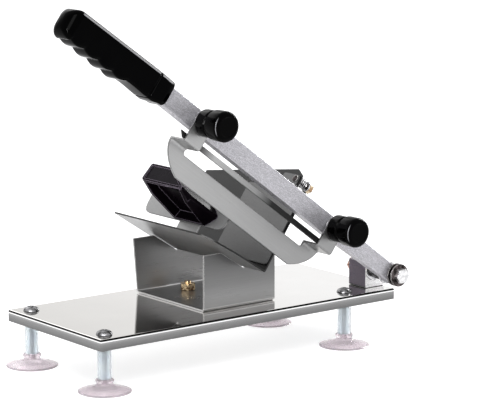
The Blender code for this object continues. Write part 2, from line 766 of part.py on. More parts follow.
def hand_block(frame, look):
    """A block that widens to a lip and narrows to an end face with a sunk panel."""
    foot = [(BLOCK_FOOT, BLOCK_FOOT_START), (BLOCK_SIDE, 0), (BLOCK_TOP, BLOCK_TOP_START),
            (BLOCK_TOP, BLOCK_TOP_END), (BLOCK_FOOT, BLOCK_FOOT_END)]
    lip = [(LIP_FOOT, LIP_FOOT_START), (LIP_SIDE, LIP_SIDE_START), (BLOCK_TOP, LIP_TOP_START),
           (BLOCK_TOP, FACE_TOP_END), (LIP_FOOT, LIP_FOOT_END)]
    face = [(FACE_LOW, FACE_START), (FACE_SIDE, FACE_SIDE_START), (BLOCK_TOP, FACE_TOP_START),
            (BLOCK_TOP, FACE_TOP_END), (FACE_LOW, FACE_END)]
    rings = []
    for outline, depth in ((foot, GAP), (lip, BLOCK_LIP), (face, BLOCK_REACH)):
        corners = [(a, BLOCK_NEAR + b, BLOCK_ROUND) for a, b in outline]
        rings.append([(a, b, depth) for a, b in rounded(corners)])
    block = skinned("hand_block", rings, frame, look)
    low, high = FACE_LOW + PANEL_INSET, BLOCK_TOP - PANEL_INSET
    start = BLOCK_NEAR + FACE_SIDE_START + PANEL_INSET * 2
    end = BLOCK_NEAR + FACE_TOP_END - PANEL_INSET
    slope = (FACE_TOP_START - FACE_SIDE_START) / (BLOCK_TOP - FACE_SIDE)
    panel = [(low, start), (high, start + (high - low) * slope), (high, end), (low, end)]
    cutter = extrude("block_panel", panel, "Z", BLOCK_REACH - PANEL_DEPTH, BLOCK_REACH + OVERRUN, frame)
    cut(block, cutter)
    return block


def pusher_foot():
    """The press plate's lower edge, seen along the trough."""
    up_from_floor = Vector((math.sin(FLOOR_TILT), math.cos(FLOOR_TILT)))
    return trough_corner() + floor_way() * PUSHER_STANDOFF + up_from_floor * PUSHER_LIFT


def meet(first, first_way, second, second_way):
    """Where two lines cross."""
    between = second - first
    return first + first_way * (between.cross(second_way) / first_way.cross(second_way))


def pusher_runner(root, look):
    """A bent sheet screwed behind the press plate, whose foot slides on the trough's floor."""
    foot = pusher_foot()
    frame = empty("runner_frame", root, (foot.x, PUSHER_NEAR + RUNNER_SETBACK, foot.y))
    right = Vector((math.sin(WALL_RISE), -math.cos(WALL_RISE)))
    up_from_floor = Vector((math.sin(FLOOR_TILT), math.cos(FLOOR_TILT)))
    on_plate = right * (SHEET + GAP)
    bend = trough_corner() - foot
    on_floor = bend + up_from_floor * (SHEET + GAP)
    knee = meet(on_plate, wall_way(), on_floor, floor_way())
    top = on_plate + wall_way() * RUNNER_TOP
    toe = knee - floor_way() * RUNNER_FOOT
    section = bent_sheet([top, knee, toe], SHEET, BEND)
    return extrude("pusher_runner", section, "Y", 0.0, RUNNER_LENGTH, frame, look)


def pivot_block(root, look):
    left = PLATE_LENGTH - BLOCK_WIDTH
    block = extrude(
        "pivot_block", rectangle(left, GAP, PLATE_LENGTH, PIVOT_BLOCK_HEIGHT, PIVOT_BLOCK_EDGE),
        "Y", PIVOT_BLOCK_NEAR, PIVOT_BLOCK_NEAR + PIVOT_BLOCK_DEPTH, root, look,
        round_end=PIVOT_BLOCK_EDGE / 2, round_start=PIVOT_BLOCK_EDGE / 2,
    )
    drill(block, "pivot_block_bore", root, (pivot_x(), PIVOT_BLOCK_NEAR - OVERRUN, PIVOT_Z),
          TO_BACK, PIVOT_RADIUS + GAP, PIVOT_BLOCK_DEPTH + OVERRUN * 2)
    for name, (x, y) in block_screw_places().items():
        seat = SHEET + GAP
        drill(block, "pivot_block_hole_" + name, root, (x, y, -OVERRUN), (0, 0, 0),
              BLOCK_SCREW_RADIUS + GAP, BLOCK_SCREW_DEPTH + OVERRUN + GAP)
        screw = turned(
            "block_screw_" + name,
            dome_screw(BLOCK_SCREW_HEAD_RADIUS, BLOCK_SCREW_HEAD_HEIGHT, BLOCK_SCREW_RADIUS,
                       seat, -BLOCK_SCREW_DEPTH),
            root, look,
        )
        screw.location = (x, y, 0)
        screw.rotation_euler = TO_FLOOR


def pivot_parts(root, looks):
    """Everything on the pivot bolt, stacked outwards from the arm's two faces and the block's back."""
    axis = empty("pivot_axis", root, (pivot_x(), 0, PIVOT_Z))
    bore = PIVOT_RADIUS + GAP
    steel, black, chrome = looks["chrome"], looks["black"], looks["chrome"]

    place = ARM_NEAR - GAP
    ring("pivot_washer_front", bore, PIVOT_WASHER_RADIUS, PIVOT_WASHER, axis, steel, (0, place, 0), TO_FRONT)
    place -= PIVOT_WASHER + GAP
    ring("pivot_ring", bore, PIVOT_RING_RADIUS, PIVOT_RING, axis, black, (0, place, 0), TO_FRONT)
    place -= PIVOT_RING + GAP
    ring("pivot_washer_outer", bore, PIVOT_WASHER_RADIUS, PIVOT_WASHER, axis, steel, (0, place, 0), TO_FRONT)
    place -= PIVOT_WASHER + GAP
    head_seat = place

    arm_back = ARM_NEAR + ARM_THICKNESS
    inner = arm_back + GAP
    ring("pivot_washer_inner", bore, PIVOT_WASHER_RADIUS, PIVOT_WASHER, axis, steel,
         (0, inner + PIVOT_WASHER, 0), TO_FRONT)
    outer = PIVOT_BLOCK_NEAR - GAP
    ring("pivot_washer_block", bore, PIVOT_WASHER_RADIUS, PIVOT_WASHER, axis, steel, (0, outer, 0), TO_FRONT)
    spring_near = inner + PIVOT_WASHER + GAP
    spring_far = outer - PIVOT_WASHER - GAP
    helix("pivot_spring", PIVOT_SPRING_RADIUS, PIVOT_SPRING_WIRE, spring_far - spring_near,
          PIVOT_SPRING_TURNS, axis, chrome, (0, spring_near, 0), TO_BACK)

    back = PIVOT_BLOCK_NEAR + PIVOT_BLOCK_DEPTH + GAP
    hex_nut("pivot_nut", PIVOT_HEAD_FLATS, PIVOT_NUT_HEIGHT, PIVOT_RADIUS + RUNNING, axis,
            looks["copper"], (0, back, 0), TO_BACK)
    end = back + PIVOT_NUT_HEIGHT + PIVOT_STANDOUT
    bolt = extrude("pivot_bolt", regular(6, PIVOT_HEAD_FLATS), "Z", 0.0, PIVOT_HEAD_HEIGHT, axis, chrome,
                   round_end=PIVOT_BLOCK_EDGE)
    bolt.location = (0, head_seat, 0)
    bolt.rotation_euler = TO_FRONT
    length = end - head_seat
    inside = PIVOT_HEAD_HEIGHT / 2
    profile = [(0, -length), (PIVOT_RADIUS, -length), (PIVOT_RADIUS, inside), (0, inside)]
    shank = turned("pivot_shank", profile, bolt)
    join(bolt, shank)
    return axis


def arm(swing, look):
    """The bar. In its frame the arm runs along -X from the pivot, and Y is the row's own."""
    half = ARM_HEIGHT / 2
    low, high = -ARM_DROP - half, -ARM_DROP + half
    tang_end = -ARM_LENGTH - TANG_LENGTH
    tang_low, tang_high = -ARM_DROP - TANG_HEIGHT / 2, -ARM_DROP + TANG_HEIGHT / 2
    outline = rounded([
        (ARM_TAIL, low + ARM_TAPER, ARM_TAIL_ROUND), (ARM_TAIL, high, ARM_TAIL_ROUND),
        (-ARM_LENGTH, high, 0), (-ARM_LENGTH, tang_high, 0), (tang_end, tang_high, 0),
        (tang_end, tang_low, 0),
        (-ARM_LENGTH, tang_low, 0), (-ARM_LENGTH, low, 0), (-ARM_TAPER_START, low, 0),
    ])
    bar = extrude("arm", outline, "Y", ARM_NEAR, ARM_NEAR + ARM_THICKNESS, swing, look,
                  round_end=ARM_EDGE, round_start=ARM_EDGE)
    through = ARM_THICKNESS + OVERRUN * 2
    start = ARM_NEAR + ARM_THICKNESS + OVERRUN
    drill(bar, "arm_pivot_hole", swing, (0, start, 0), TO_FRONT, PIVOT_RADIUS + RUNNING, through)
    for label, reach in knob_places().items():
        drill(bar, "arm_stud_hole_" + label, swing, (-reach, start, -ARM_DROP), TO_FRONT,
              STUD_RADIUS + GAP, through)


def knob_places():
    upper = ARM_LENGTH - KNOB_FROM_GRIP
    return {"upper": upper, "lower": upper - KNOB_SPACING}


def eased(value, start, length):
    """0 before the start, 1 past the end, smooth between."""
    share = min(max((value - start) / length, 0.0), 1.0)
    return share * share * (3 - 2 * share)


def grip(swing, look):
    """A moulded handle with a collar, a ring groove and finger waves underneath."""
    half = ARM_HEIGHT / 2
    start = ARM_LENGTH + GAP
    groove = GRIP_COLLAR + GRIP_GROOVE / 2
    marks = [0.0, GRIP_START_ROUND, GRIP_COLLAR_STEP * 2, GRIP_COLLAR - GRIP_GROOVE / 4, GRIP_COLLAR,
             groove, GRIP_COLLAR + GRIP_GROOVE, GRIP_COLLAR + GRIP_GROOVE * 1.25]
    body_start = GRIP_COLLAR + GRIP_GROOVE * 1.25
    body_end = GRIP_LENGTH - GRIP_END_ROUND
    for index in range(1, GRIP_STATIONS - 14):
        marks.append(body_start + (body_end - body_start) * index / (GRIP_STATIONS - 14))
    for index in range(8):
        marks.append(body_end + GRIP_END_ROUND * math.sin(math.pi / 2 * index / 7.5))
    rings = []
    for mark in marks:
        rings.append(grip_section(mark, half, body_start, body_end, start))
    handle = skinned("grip", rings, swing, look)
    tang_low = -ARM_DROP - TANG_HEIGHT / 2 - GAP
    tang_high = -ARM_DROP + TANG_HEIGHT / 2 + GAP
    socket_end = -ARM_LENGTH - TANG_LENGTH - GAP
    socket = extrude(
        "grip_socket", rectangle(socket_end, tang_low, -ARM_LENGTH + OVERRUN, tang_high), "Y",
        ARM_NEAR - GAP, ARM_NEAR + ARM_THICKNESS + GAP, swing,
    )
    cut(handle, socket)


def grip_section(mark, half, body_start, body_end, start):
    """One cross-section of the grip, this far from its front end."""
    swell = eased(mark, GRIP_COLLAR_STEP, GRIP_COLLAR_STEP * 3)
    rise = GRIP_COLLAR_RISE + (GRIP_RISE - GRIP_COLLAR_RISE) * swell
    fall = GRIP_COLLAR_FALL + (GRIP_FALL - GRIP_COLLAR_FALL) * swell
    rise -= GRIP_TOP_DROP * max(mark - body_start, 0.0) / (body_end - body_start)
    fall += GRIP_BELLY * eased(mark, GRIP_COLLAR, GRIP_WAVES_START)
    wave_share = (mark - GRIP_WAVES_START) / (body_end - GRIP_WAVES_START)
    if 0 < wave_share < 1:
        fall -= GRIP_WAVE * (1 - abs(math.sin(math.pi * GRIP_WAVES * wave_share)))
    elif wave_share <= 0:
        fall -= GRIP_WAVE * eased(mark, GRIP_COLLAR, GRIP_WAVES_START - GRIP_COLLAR)
    ease_in = GRIP_START_ROUND * (1 - eased(mark, 0.0, GRIP_START_ROUND))
    in_groove = abs(mark - GRIP_COLLAR - GRIP_GROOVE / 2) < GRIP_GROOVE * 0.6
    pinch = ease_in + (GRIP_GROOVE_DEPTH if in_groove else 0.0)
    top = -ARM_DROP + half + rise - pinch
    low = -ARM_DROP - half - fall + pinch
    wide = GRIP_WIDTH / 2 - pinch
    if mark > body_end:
        share = (mark - body_end) / GRIP_END_ROUND
        shrink = GRIP_END_ROUND * (1 - math.sqrt(max(1 - share * share, 0.0)))
        top, low, wide = top - shrink, low + shrink, wide - shrink
    middle_z, tall = (top + low) / 2, (top - low) / 2
    middle_y = ARM_NEAR + ARM_THICKNESS / 2
    ring_points = []
    for index in range(GRIP_SIDES):
        turn = math.tau * index / GRIP_SIDES
        across, up = math.cos(turn), math.sin(turn)
        size = (abs(across) ** GRIP_SQUARENESS + abs(up) ** GRIP_SQUARENESS) ** (-1 / GRIP_SQUARENESS)
        ring_points.append((-start - mark, middle_y + wide * across * size, middle_z + tall * up * size))
    return ring_points


def blade(swing, look):
    """The folded sheet, cut to the blade's outline, to two ears and to a slot under the arm."""
    half = EAR_WIDTH / 2
    tip, heel = -knob_places()["upper"] - half, -knob_places()["lower"] + half
    back = BLADE_NEAR + SHEET
    web = -BLADE_EAR_LOW - SHEET
    front = ARM_NEAR - EAR_STANDOFF - SHEET
    ear_top = -ARM_DROP + EAR_TOP_ROUND
    path = [(front, ear_top), (front, web), (back, web), (back, -BLADE_EDGE)]
    sheet = extrude("blade", bent_sheet(path, SHEET, BEND), "X", tip, heel, swing, look)
    blade_ends(sheet, swing, tip, heel, web)
    slot = rounded([
        (tip + EAR_WIDTH, web, 0), (tip + EAR_WIDTH, -BLADE_SPINE, SLOT_ROUND),
        (heel - EAR_WIDTH, -BLADE_SPINE, SLOT_ROUND), (heel - EAR_WIDTH, web, 0),
        (heel - EAR_WIDTH, ear_top + OVERRUN, 0), (tip + EAR_WIDTH, ear_top + OVERRUN, 0),
    ])
    cut(sheet, extrude("blade_slot", slot, "Y", front - OVERRUN, back + OVERRUN, swing))
    land = BLADE_NEAR + BLADE_GRIND_LAND
    grind = [(land, -BLADE_EDGE), (land, -BLADE_EDGE - OVERRUN),
             (back + OVERRUN, -BLADE_EDGE - OVERRUN), (back + OVERRUN, -BLADE_EDGE + BLADE_GRIND),
             (back, -BLADE_EDGE + BLADE_GRIND)]
    cut(sheet, extrude("blade_grind", grind, "X", tip - OVERRUN, heel + OVERRUN, swing))
    for label, reach in knob_places().items():
        ear_top_cut(sheet, swing, label, -reach, front)


def blade_ends(sheet, swing, tip, heel, web):
    """Cuts away what lies outside the curved tip and heel."""
    depth = BLADE_EDGE + web
    ends = (
        ("tip", tip, 1, BLADE_TIP_RUN, BLADE_TIP_POWER),
        ("heel", heel, -1, BLADE_HEEL_RUN, BLADE_HEEL_POWER),
    )
    for name, end, inward, run, power in ends:
        past, under = end - inward * OVERRUN, -BLADE_EDGE - OVERRUN
        outside = [(end, web), (past, web), (past, under), (end + inward * run, under)]
        for index in range(BLADE_END_STEPS):
            share = math.cos(math.pi / 2 * (1 - index / BLADE_END_STEPS))
            fall = depth * (1 - share ** power) ** (1 / power)
            outside.append((end + inward * run * (1 - share), web - fall))
        low = BLADE_NEAR - OVERRUN
        cut(sheet, extrude("blade_end_" + name, outside, "Y", low, low + SHEET + OVERRUN * 2, swing))


def ear_top_cut(sheet, swing, label, middle, front):
    """Rounds the top of an ear's front plate and drills it for the stud."""
    half = EAR_WIDTH / 2
    above = -ARM_DROP + EAR_TOP_ROUND + OVERRUN
    outside = [(middle - half - OVERRUN, -ARM_DROP), (middle - half, -ARM_DROP)]
    for index in range(1, EAR_STEPS):
        turn = math.pi * (1 - index / EAR_STEPS)
        outside.append((middle + half * math.cos(turn), -ARM_DROP + EAR_TOP_ROUND * math.sin(turn)))
    outside += [(middle + half, -ARM_DROP), (middle + half + OVERRUN, -ARM_DROP),
                (middle + half + OVERRUN, above), (middle - half - OVERRUN, above)]
    near, far = front - OVERRUN, front + SHEET + OVERRUN
    cut(sheet, extrude("ear_round_" + label, outside, "Y", near, far, swing))
    drill(sheet, "ear_hole_" + label, swing, (middle, far, -ARM_DROP), TO_FRONT,
          STUD_RADIUS + GAP, far - near)


def support_bar(swing, look):
    """A flat bar on edge, which ties the blade's ears together just behind their front plates."""
    low = -BLADE_EAR_LOW + GAP
    upper = -knob_places()["upper"] - EAR_WIDTH / 2 - SUPPORT_OVERHANG
    lower = -knob_places()["lower"] + EAR_WIDTH / 2
    outline = rounded([(upper + SUPPORT_HEIGHT, low, 0), (lower, low, 0), (lower, low + SUPPORT_HEIGHT, 0),
                       (upper, low + SUPPORT_HEIGHT, 0)])
    near = ARM_NEAR - EAR_STANDOFF + GAP
    return extrude("support_bar", outline, "Y", near, near + SUPPORT_DEPTH, swing, look,
                   round_end=SUPPORT_EDGE, round_start=SUPPORT_EDGE)


def knobs(swing, looks):
    """On each stud: a nut behind the arm and, in front, a spring, the blade's ear, a washer and the knob."""
    spring_length = EAR_STANDOFF - GAP * 2
    washer_seat = ARM_NEAR - EAR_STANDOFF - SHEET - GAP
    knob_seat = washer_seat - KNOB_WASHER - GAP
    nut_seat = ARM_NEAR + ARM_THICKNESS + GAP
    stud_back = nut_seat + STUD_NUT_HEIGHT
    stud_end = knob_seat - KNOB_BORE_DEPTH
    for label, reach in knob_places().items():
        frame = empty(f"knob_{label}_axis", swing, (-reach, 0, -ARM_DROP))
        helix("stud_spring_" + label, KNOB_SPRING_RADIUS, KNOB_SPRING_WIRE, spring_length, KNOB_SPRING_TURNS,
              frame, looks["chrome"], (0, ARM_NEAR - GAP, 0), TO_FRONT)
        ring("knob_washer_" + label, STUD_RADIUS + GAP, KNOB_WASHER_RADIUS, KNOB_WASHER,
             frame, looks["chrome"], (0, washer_seat, 0), TO_FRONT)
        stud = turned("stud_" + label, [(0, 0), (STUD_RADIUS, 0), (STUD_RADIUS, stud_back - stud_end),
                                        (0, stud_back - stud_end)], frame, looks["chrome"])
        stud.location = (0, stud_back, 0)
        stud.rotation_euler = TO_FRONT
        hex_nut("stud_nut_" + label, STUD_NUT_FLATS, STUD_NUT_HEIGHT, STUD_RADIUS + RUNNING, frame,
                looks["chrome"], (0, nut_seat, 0), TO_BACK)
        knob = turned("knob_" + label, knob_profile(), frame, looks["black"])
        knob.location = (0, knob_seat, 0)
        knob.rotation_euler = TO_FRONT


def knob_profile():
    bore, depth = STUD_RADIUS + GAP, KNOB_BORE_DEPTH + GAP
    waist_start = KNOB_BASE_LENGTH + KNOB_SHOULDER
    waist_end = waist_start + KNOB_WAIST_LENGTH
    body_start = waist_end + KNOB_SHOULDER
    crown = []
    for index in range(DOME_STEPS + 1):
        turn = math.pi / 2 * index / DOME_STEPS
        crown.append((KNOB_RADIUS - KNOB_ROUND + KNOB_ROUND * math.cos(turn),
                      KNOB_LENGTH - KNOB_ROUND + KNOB_ROUND * math.sin(turn)))
    return [(0, depth), (bore, depth), (bore, 0), (KNOB_BASE_RADIUS - KNOB_SHOULDER, 0),
            (KNOB_BASE_RADIUS, KNOB_SHOULDER), (KNOB_BASE_RADIUS, KNOB_BASE_LENGTH),
            (KNOB_WAIST_RADIUS, waist_start), (KNOB_WAIST_RADIUS, waist_end),
            (KNOB_RADIUS, body_start), *crown, (0, KNOB_LENGTH)]


def stance():
    """How far the plate's top stands above the table."""
    return SLEEVE_BOTTOM + GAP + CUP_NECK_HEIGHT + CUP_HEIGHT


def main():
    clear_scene()
    looks = {
        "mirror": material("mirror_steel", MIRROR_STEEL, 1.0, 0.06),
        "steel": material("brushed_steel", STEEL, 1.0, 0.35),
        "satin": material("satin_plate", BLADE_STEEL, 1.0, 0.42),
        "blade": material("blade_steel", BLADE_STEEL, 1.0, 0.30),
        "aluminium": material("aluminium", ALUMINIUM, 1.0, 0.38),
        "chrome": material("chrome", CHROME, 1.0, 0.12),
        "zinc": material("yellow_zinc", ZINC, 1.0, 0.25),
        "copper": material("copper_plating", COPPER, 1.0, 0.30),
        "black": material("black_plastic", BLACK, 0.0, 0.18),
        "sleeve": material("clear_blue_sleeve", SLEEVE_BLUE, 0.0, 0.20),
        "cup": material("lilac_rubber", CUP_LILAC, 0.0, 0.45),
    }
    root = empty("slicer", None, (-LEG_LEFT_INSET, -LEG_SIDE_INSET, stance()))
    base_plate(root, looks["mirror"])
    legs(root, looks)
    stand(root, looks["steel"])
    stand_bolts(root, looks)
    wall = trough(root, looks["steel"])
    guide_plate(wall, looks["satin"])
    adjuster(wall, looks)
    pusher(root, looks)
    pivot_block(root, looks["aluminium"])
    pivot_axis = pivot_parts(root, looks)
    swing = empty("arm_swing", pivot_axis, (0, 0, 0), ARM_ANGLE)
    arm(swing, looks["aluminium"])
    grip(swing, looks["black"])
    blade(swing, looks["blade"])
    support_bar(swing, looks["steel"])
    knobs(swing, looks)
    bpy.context.view_layer.update()


main()
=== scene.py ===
import math

import bmesh
import bpy
from mathutils import Matrix, Vector


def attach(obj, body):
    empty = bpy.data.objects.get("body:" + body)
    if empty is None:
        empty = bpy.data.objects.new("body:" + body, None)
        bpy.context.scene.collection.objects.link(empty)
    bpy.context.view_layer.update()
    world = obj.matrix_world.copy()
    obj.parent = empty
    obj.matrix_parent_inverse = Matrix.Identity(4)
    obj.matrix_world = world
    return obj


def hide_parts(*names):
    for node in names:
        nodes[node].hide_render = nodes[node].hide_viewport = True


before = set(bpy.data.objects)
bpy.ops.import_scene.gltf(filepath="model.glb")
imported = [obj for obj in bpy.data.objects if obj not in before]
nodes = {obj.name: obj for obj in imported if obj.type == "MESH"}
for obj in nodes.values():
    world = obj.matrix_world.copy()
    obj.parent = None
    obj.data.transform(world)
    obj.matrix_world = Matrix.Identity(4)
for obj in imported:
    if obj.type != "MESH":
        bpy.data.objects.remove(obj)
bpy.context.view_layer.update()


def shift(x, y, z):
    return Matrix.Translation((x, y, z))


# Frames and directions, as in the CAD model. All lengths are in metres.

ARM_ANGLE = math.radians(36.6)
WALL_RISE = math.radians(55.0)
FLOOR_TILT = math.radians(33.0)
SLICER = shift(-0.015, -0.0165, 0.0515)
PIVOT = SLICER @ shift(0.327, 0.0, 0.0175)
SWING = PIVOT @ Matrix.Rotation(ARM_ANGLE, 4, "Y")
WALL = SLICER @ shift(0.181, -0.001, 0.036) @ Matrix.Rotation(-WALL_RISE, 4, "Y")
ADJUSTER = WALL @ shift(0.0942, 0.0200, 0.0)
PUSHER = shift(0.123993, -0.0085, 0.130042) @ Matrix.Rotation(-WALL_RISE, 4, "Y")
TO_FRONT = Matrix.Rotation(math.radians(90), 4, "X")
TO_BACK = Matrix.Rotation(math.radians(-90), 4, "X")
TO_FLOOR = Matrix.Rotation(math.radians(180), 4, "X")
UP = (0, 0, 1)
RIGHT = (1, 0, 0)
FRONT = (0, -1, 0)
BACK = (0, 1, 0)
ALONG_ARM = (-math.cos(ARM_ANGLE), 0.0, math.sin(ARM_ANGLE))
UP_FLOOR = (-math.cos(FLOOR_TILT), 0.0, math.sin(FLOOR_TILT))

# Places and sizes that several pieces share

GAP = 0.0003
WELD = 0.000001
THREAD_PITCH = 0.0010
THREAD_DEPTH = 0.0004
LEGS = {"front_left": (0.0150, 0.0165), "front_right": (0.2910, 0.0165),
        "back_left": (0.0150, 0.1335), "back_right": (0.2910, 0.1335)}
KNOBS = {"upper": 0.2840, "lower": 0.0970}

# The grip. Its start is measured along the arm from the pivot, and the rest from that start.

GRIP_START = 0.3298
GRIP_LENGTH = 0.1260
GRIP_HALF_WIDTH = 0.0125
GRIP_CORNER = 0.0046
GRIP_CORNER_SHARE = 0.85
GRIP_START_ROUND = 0.0012
GRIP_START_DEPTH = 0.0010
GRIP_END_ROUND = 0.0110
GRIP_BODY_START = 0.0199
GRIP_BODY_END = GRIP_LENGTH - GRIP_END_ROUND
GRIP_COLLAR = 0.0175
GRIP_COLLAR_RISE = 0.0028
GRIP_COLLAR_FALL = 0.0020
GRIP_SWELL_START = 0.0030
GRIP_SWELL_LENGTH = 0.0090
GRIP_SWELL_RISE = 0.0004
GRIP_SWELL_FALL = 0.0024
GRIP_GROOVE = 0.0181
GRIP_GROOVE_HALF = 0.0010
GRIP_GROOVE_DEPTH = 0.0009
GRIP_TOP_DROP = 0.0018
GRIP_BELLY = 0.0032
GRIP_BELLY_LENGTH = 0.0450
GRIP_WAVES = 4
GRIP_WAVES_START = 0.0450
GRIP_WAVES_LEAD = 0.0275
GRIP_WAVE_DEPTH = 0.0022

# The arm's bar in its own frame: the middle of its thickness, its top and its bottom

ARM_MIDDLE = -0.0100
ARM_TOP = 0.00635
ARM_BOTTOM = -0.01235

# The camera that was fitted to the photo, the floor, the sky and the lamps

CAMERA_LENS = 177.15
CAMERA_SENSOR = 36.0
CAMERA_FAR = 20.0
CAMERA_PLACE = (-1.16931, -1.69889, 0.55177)
CAMERA_TURN = (math.radians(90 - 10.6727), 0, math.radians(-37.9727))
FLOOR_HALF = 6.0
FLOOR_LEVEL = -0.0002
FLOOR_SHADE = 0.80
FLOOR_GLOW = 0.62
SKY = ((0.30, (0.42, 0.42, 0.43, 1)), (0.85, (0.86, 0.86, 0.87, 1)))
# Name, place, target, width and height, watts, and whether it lights matt surfaces or only shines on gloss
LAMPS = (("key", (-0.9, -1.3, 1.5), (0.15, 0.05, 0.1), (0.7, 0.7), 11, True),
         ("edge", (1.45, 0.30, 0.75), (0.0, 0.0, 0.25), (0.18, 0.9), 22, False),
         ("streak", (-1.56, -1.06, 0.85), (0.0, 0.0, 0.25), (0.05, 1.2), 45, False),
         ("back", (0.2, 1.8, 1.2), (0.15, 0.05, 0.1), (1.6, 0.8), 7, True))

# Values that several materials share. A line is the colour and width of a painted edge: pale for a painted
# highlight, dark for a painted shade.

FLAT = (0, 0, 0)
ARM_TURN = (0, -ARM_ANGLE, 0)
NOISE_RANGE = (0.3, 0.7)
NEAR_BLACK = (0.004, 0.004, 0.004)
PALE_EDGE_HIGHLIGHT = ((0.86, 0.86, 0.85), 0.0009)
DARK_EDGE_SHADE = (NEAR_BLACK, 0.0013)
PLATED_LINE_WIDTH = 0.0007
BLACK_PLASTIC = (0.0002, 0.0002, 0.0003)
# Painted highlights on the dark plastic: the hand block's paler edges and their width, the grip's top front
# edge line and the way that edge looks, and the arc on each knob's rim and the side it is on.
EDGE_HIGHLIGHT_PLASTIC = (0.36, 0.31, 0.38)
EDGE_HIGHLIGHT_WIDTH = 0.0012
GRIP_HIGHLIGHT_COLOUR = (0.42, 0.42, 0.43)
KNOB_HIGHLIGHT_COLOUR = (0.40, 0.40, 0.42)
GRIP_HIGHLIGHT_FACING = (0.47 * math.sin(ARM_ANGLE), -0.883, 0.47 * math.cos(ARM_ANGLE))
KNOB_HIGHLIGHT_SIDE = (-1, 0, 0.1)

# The looks and edge widths of the CAD solids that are shown as they are

CAD_EDGE_STEPS = 2
CAD_EDGE_ANGLE = 40
CAD_LOOKS = (
    ("base", 0.0004, ("base_plate",)),
    ("stand", 0.0003, ("stand",)),
    ("trough", 0.0002, ("trough",)),
    ("guide", 0.0002, ("guide_plate",)),
    ("press", 0.0002, ("press_plate",)),
    ("runner", 0.0002, ("pusher_runner",)),
    ("blade", 0.0002, ("blade",)),
    ("bar", 0.0003, ("support_bar",)),
    ("arm", 0.0003, ("arm",)),
    ("block", 0.0003, ("pivot_block", "block_screw_front", "block_screw_back")),
    ("dull", 0.0002, ("adjust_bolt",)),
    ("chrome", 0.0002, ("pusher_screw_near", "pusher_screw_far", "stud_nut_upper", "stud_nut_lower")),
    ("bright", 0.0003, ("pivot_bolt",)),
    ("zinc", 0.0002, ("stand_bolt_front", "stand_bolt_back", "stand_nut_front", "stand_nut_back")),
    ("pale_zinc", 0.0002, ("adjust_nut",)),
    ("copper", 0.0002, ("pivot_nut",)),
)


# Camera and stage

def added(name, data):
    """An object in the scene for a mesh, curve, lamp or camera."""
    made = bpy.data.objects.new(name, data)
    bpy.context.scene.collection.objects.link(made)
    return made


def make_camera():
    data = bpy.data.cameras.new("camera")
    data.lens = CAMERA_LENS
    data.sensor_width = CAMERA_SENSOR
    data.clip_end = CAMERA_FAR
    camera = added("camera", data)
    camera.location = CAMERA_PLACE
    camera.rotation_euler = CAMERA_TURN
    bpy.context.scene.camera = camera


def area_light(name, place, target, size, power, lights_matt):
    """A rectangular lamp at a place, turned towards its target."""
    data = bpy.data.lights.new(name, "AREA")
    data.shape = "RECTANGLE"
    data.size, data.size_y = size
    data.energy = power
    light = added(name, data)
    light.location = place
    light.visible_diffuse = lights_matt
    way = Vector(target) - Vector(place)
    light.rotation_euler = way.to_track_quat("-Z", "Y").to_euler()


def seen_directly(tree):
    """1 for rays from the camera, off a mirror or through clear plastic, else 0."""
    path = tree.nodes.new("ShaderNodeLightPath")
    value = path.outputs["Is Camera Ray"]
    for other in ("Is Glossy Ray", "Is Transmission Ray"):
        most = tree.nodes.new("ShaderNodeMath")
        most.operation = "MAXIMUM"
        tree.links.new(value, most.inputs[0])
        tree.links.new(path.outputs[other], most.inputs[1])
        value = most.outputs[0]
    return value


def make_world():
    """White where it is seen; as a light, a soft studio that is brighter above."""
    world = bpy.data.worlds.new("studio")
    bpy.context.scene.world = world
    world.use_nodes = True
    tree = world.node_tree
    tree.nodes.clear()
    out = tree.nodes.new("ShaderNodeOutputWorld")
    white = tree.nodes.new("ShaderNodeBackground")
    white.inputs["Color"].default_value = (1, 1, 1, 1)
    soft = tree.nodes.new("ShaderNodeBackground")
    coord = tree.nodes.new("ShaderNodeTexCoord")
    split = tree.nodes.new("ShaderNodeSeparateXYZ")
    ramp = tree.nodes.new("ShaderNodeValToRGB")
    for element, (place, colour) in zip(ramp.color_ramp.elements, SKY):
        element.position = place
        element.color = colour
    height = tree.nodes.new("ShaderNodeMath")
    height.operation = "MULTIPLY_ADD"
    height.inputs[1].default_value = 0.5
    height.inputs[2].default_value = 0.5
    mix = tree.nodes.new("ShaderNodeMixShader")
    link = tree.links.new
    link(coord.outputs["Generated"], split.inputs[0])
    link(split.outputs["Z"], height.inputs[0])
    link(height.outputs[0], ramp.inputs[0])
    link(ramp.outputs[0], soft.inputs["Color"])
    link(seen_directly(tree), mix.inputs[0])
    link(soft.outputs[0], mix.inputs[1])
    link(white.outputs[0], mix.inputs[2])
    link(mix.outputs[0], out.inputs["Surface"])


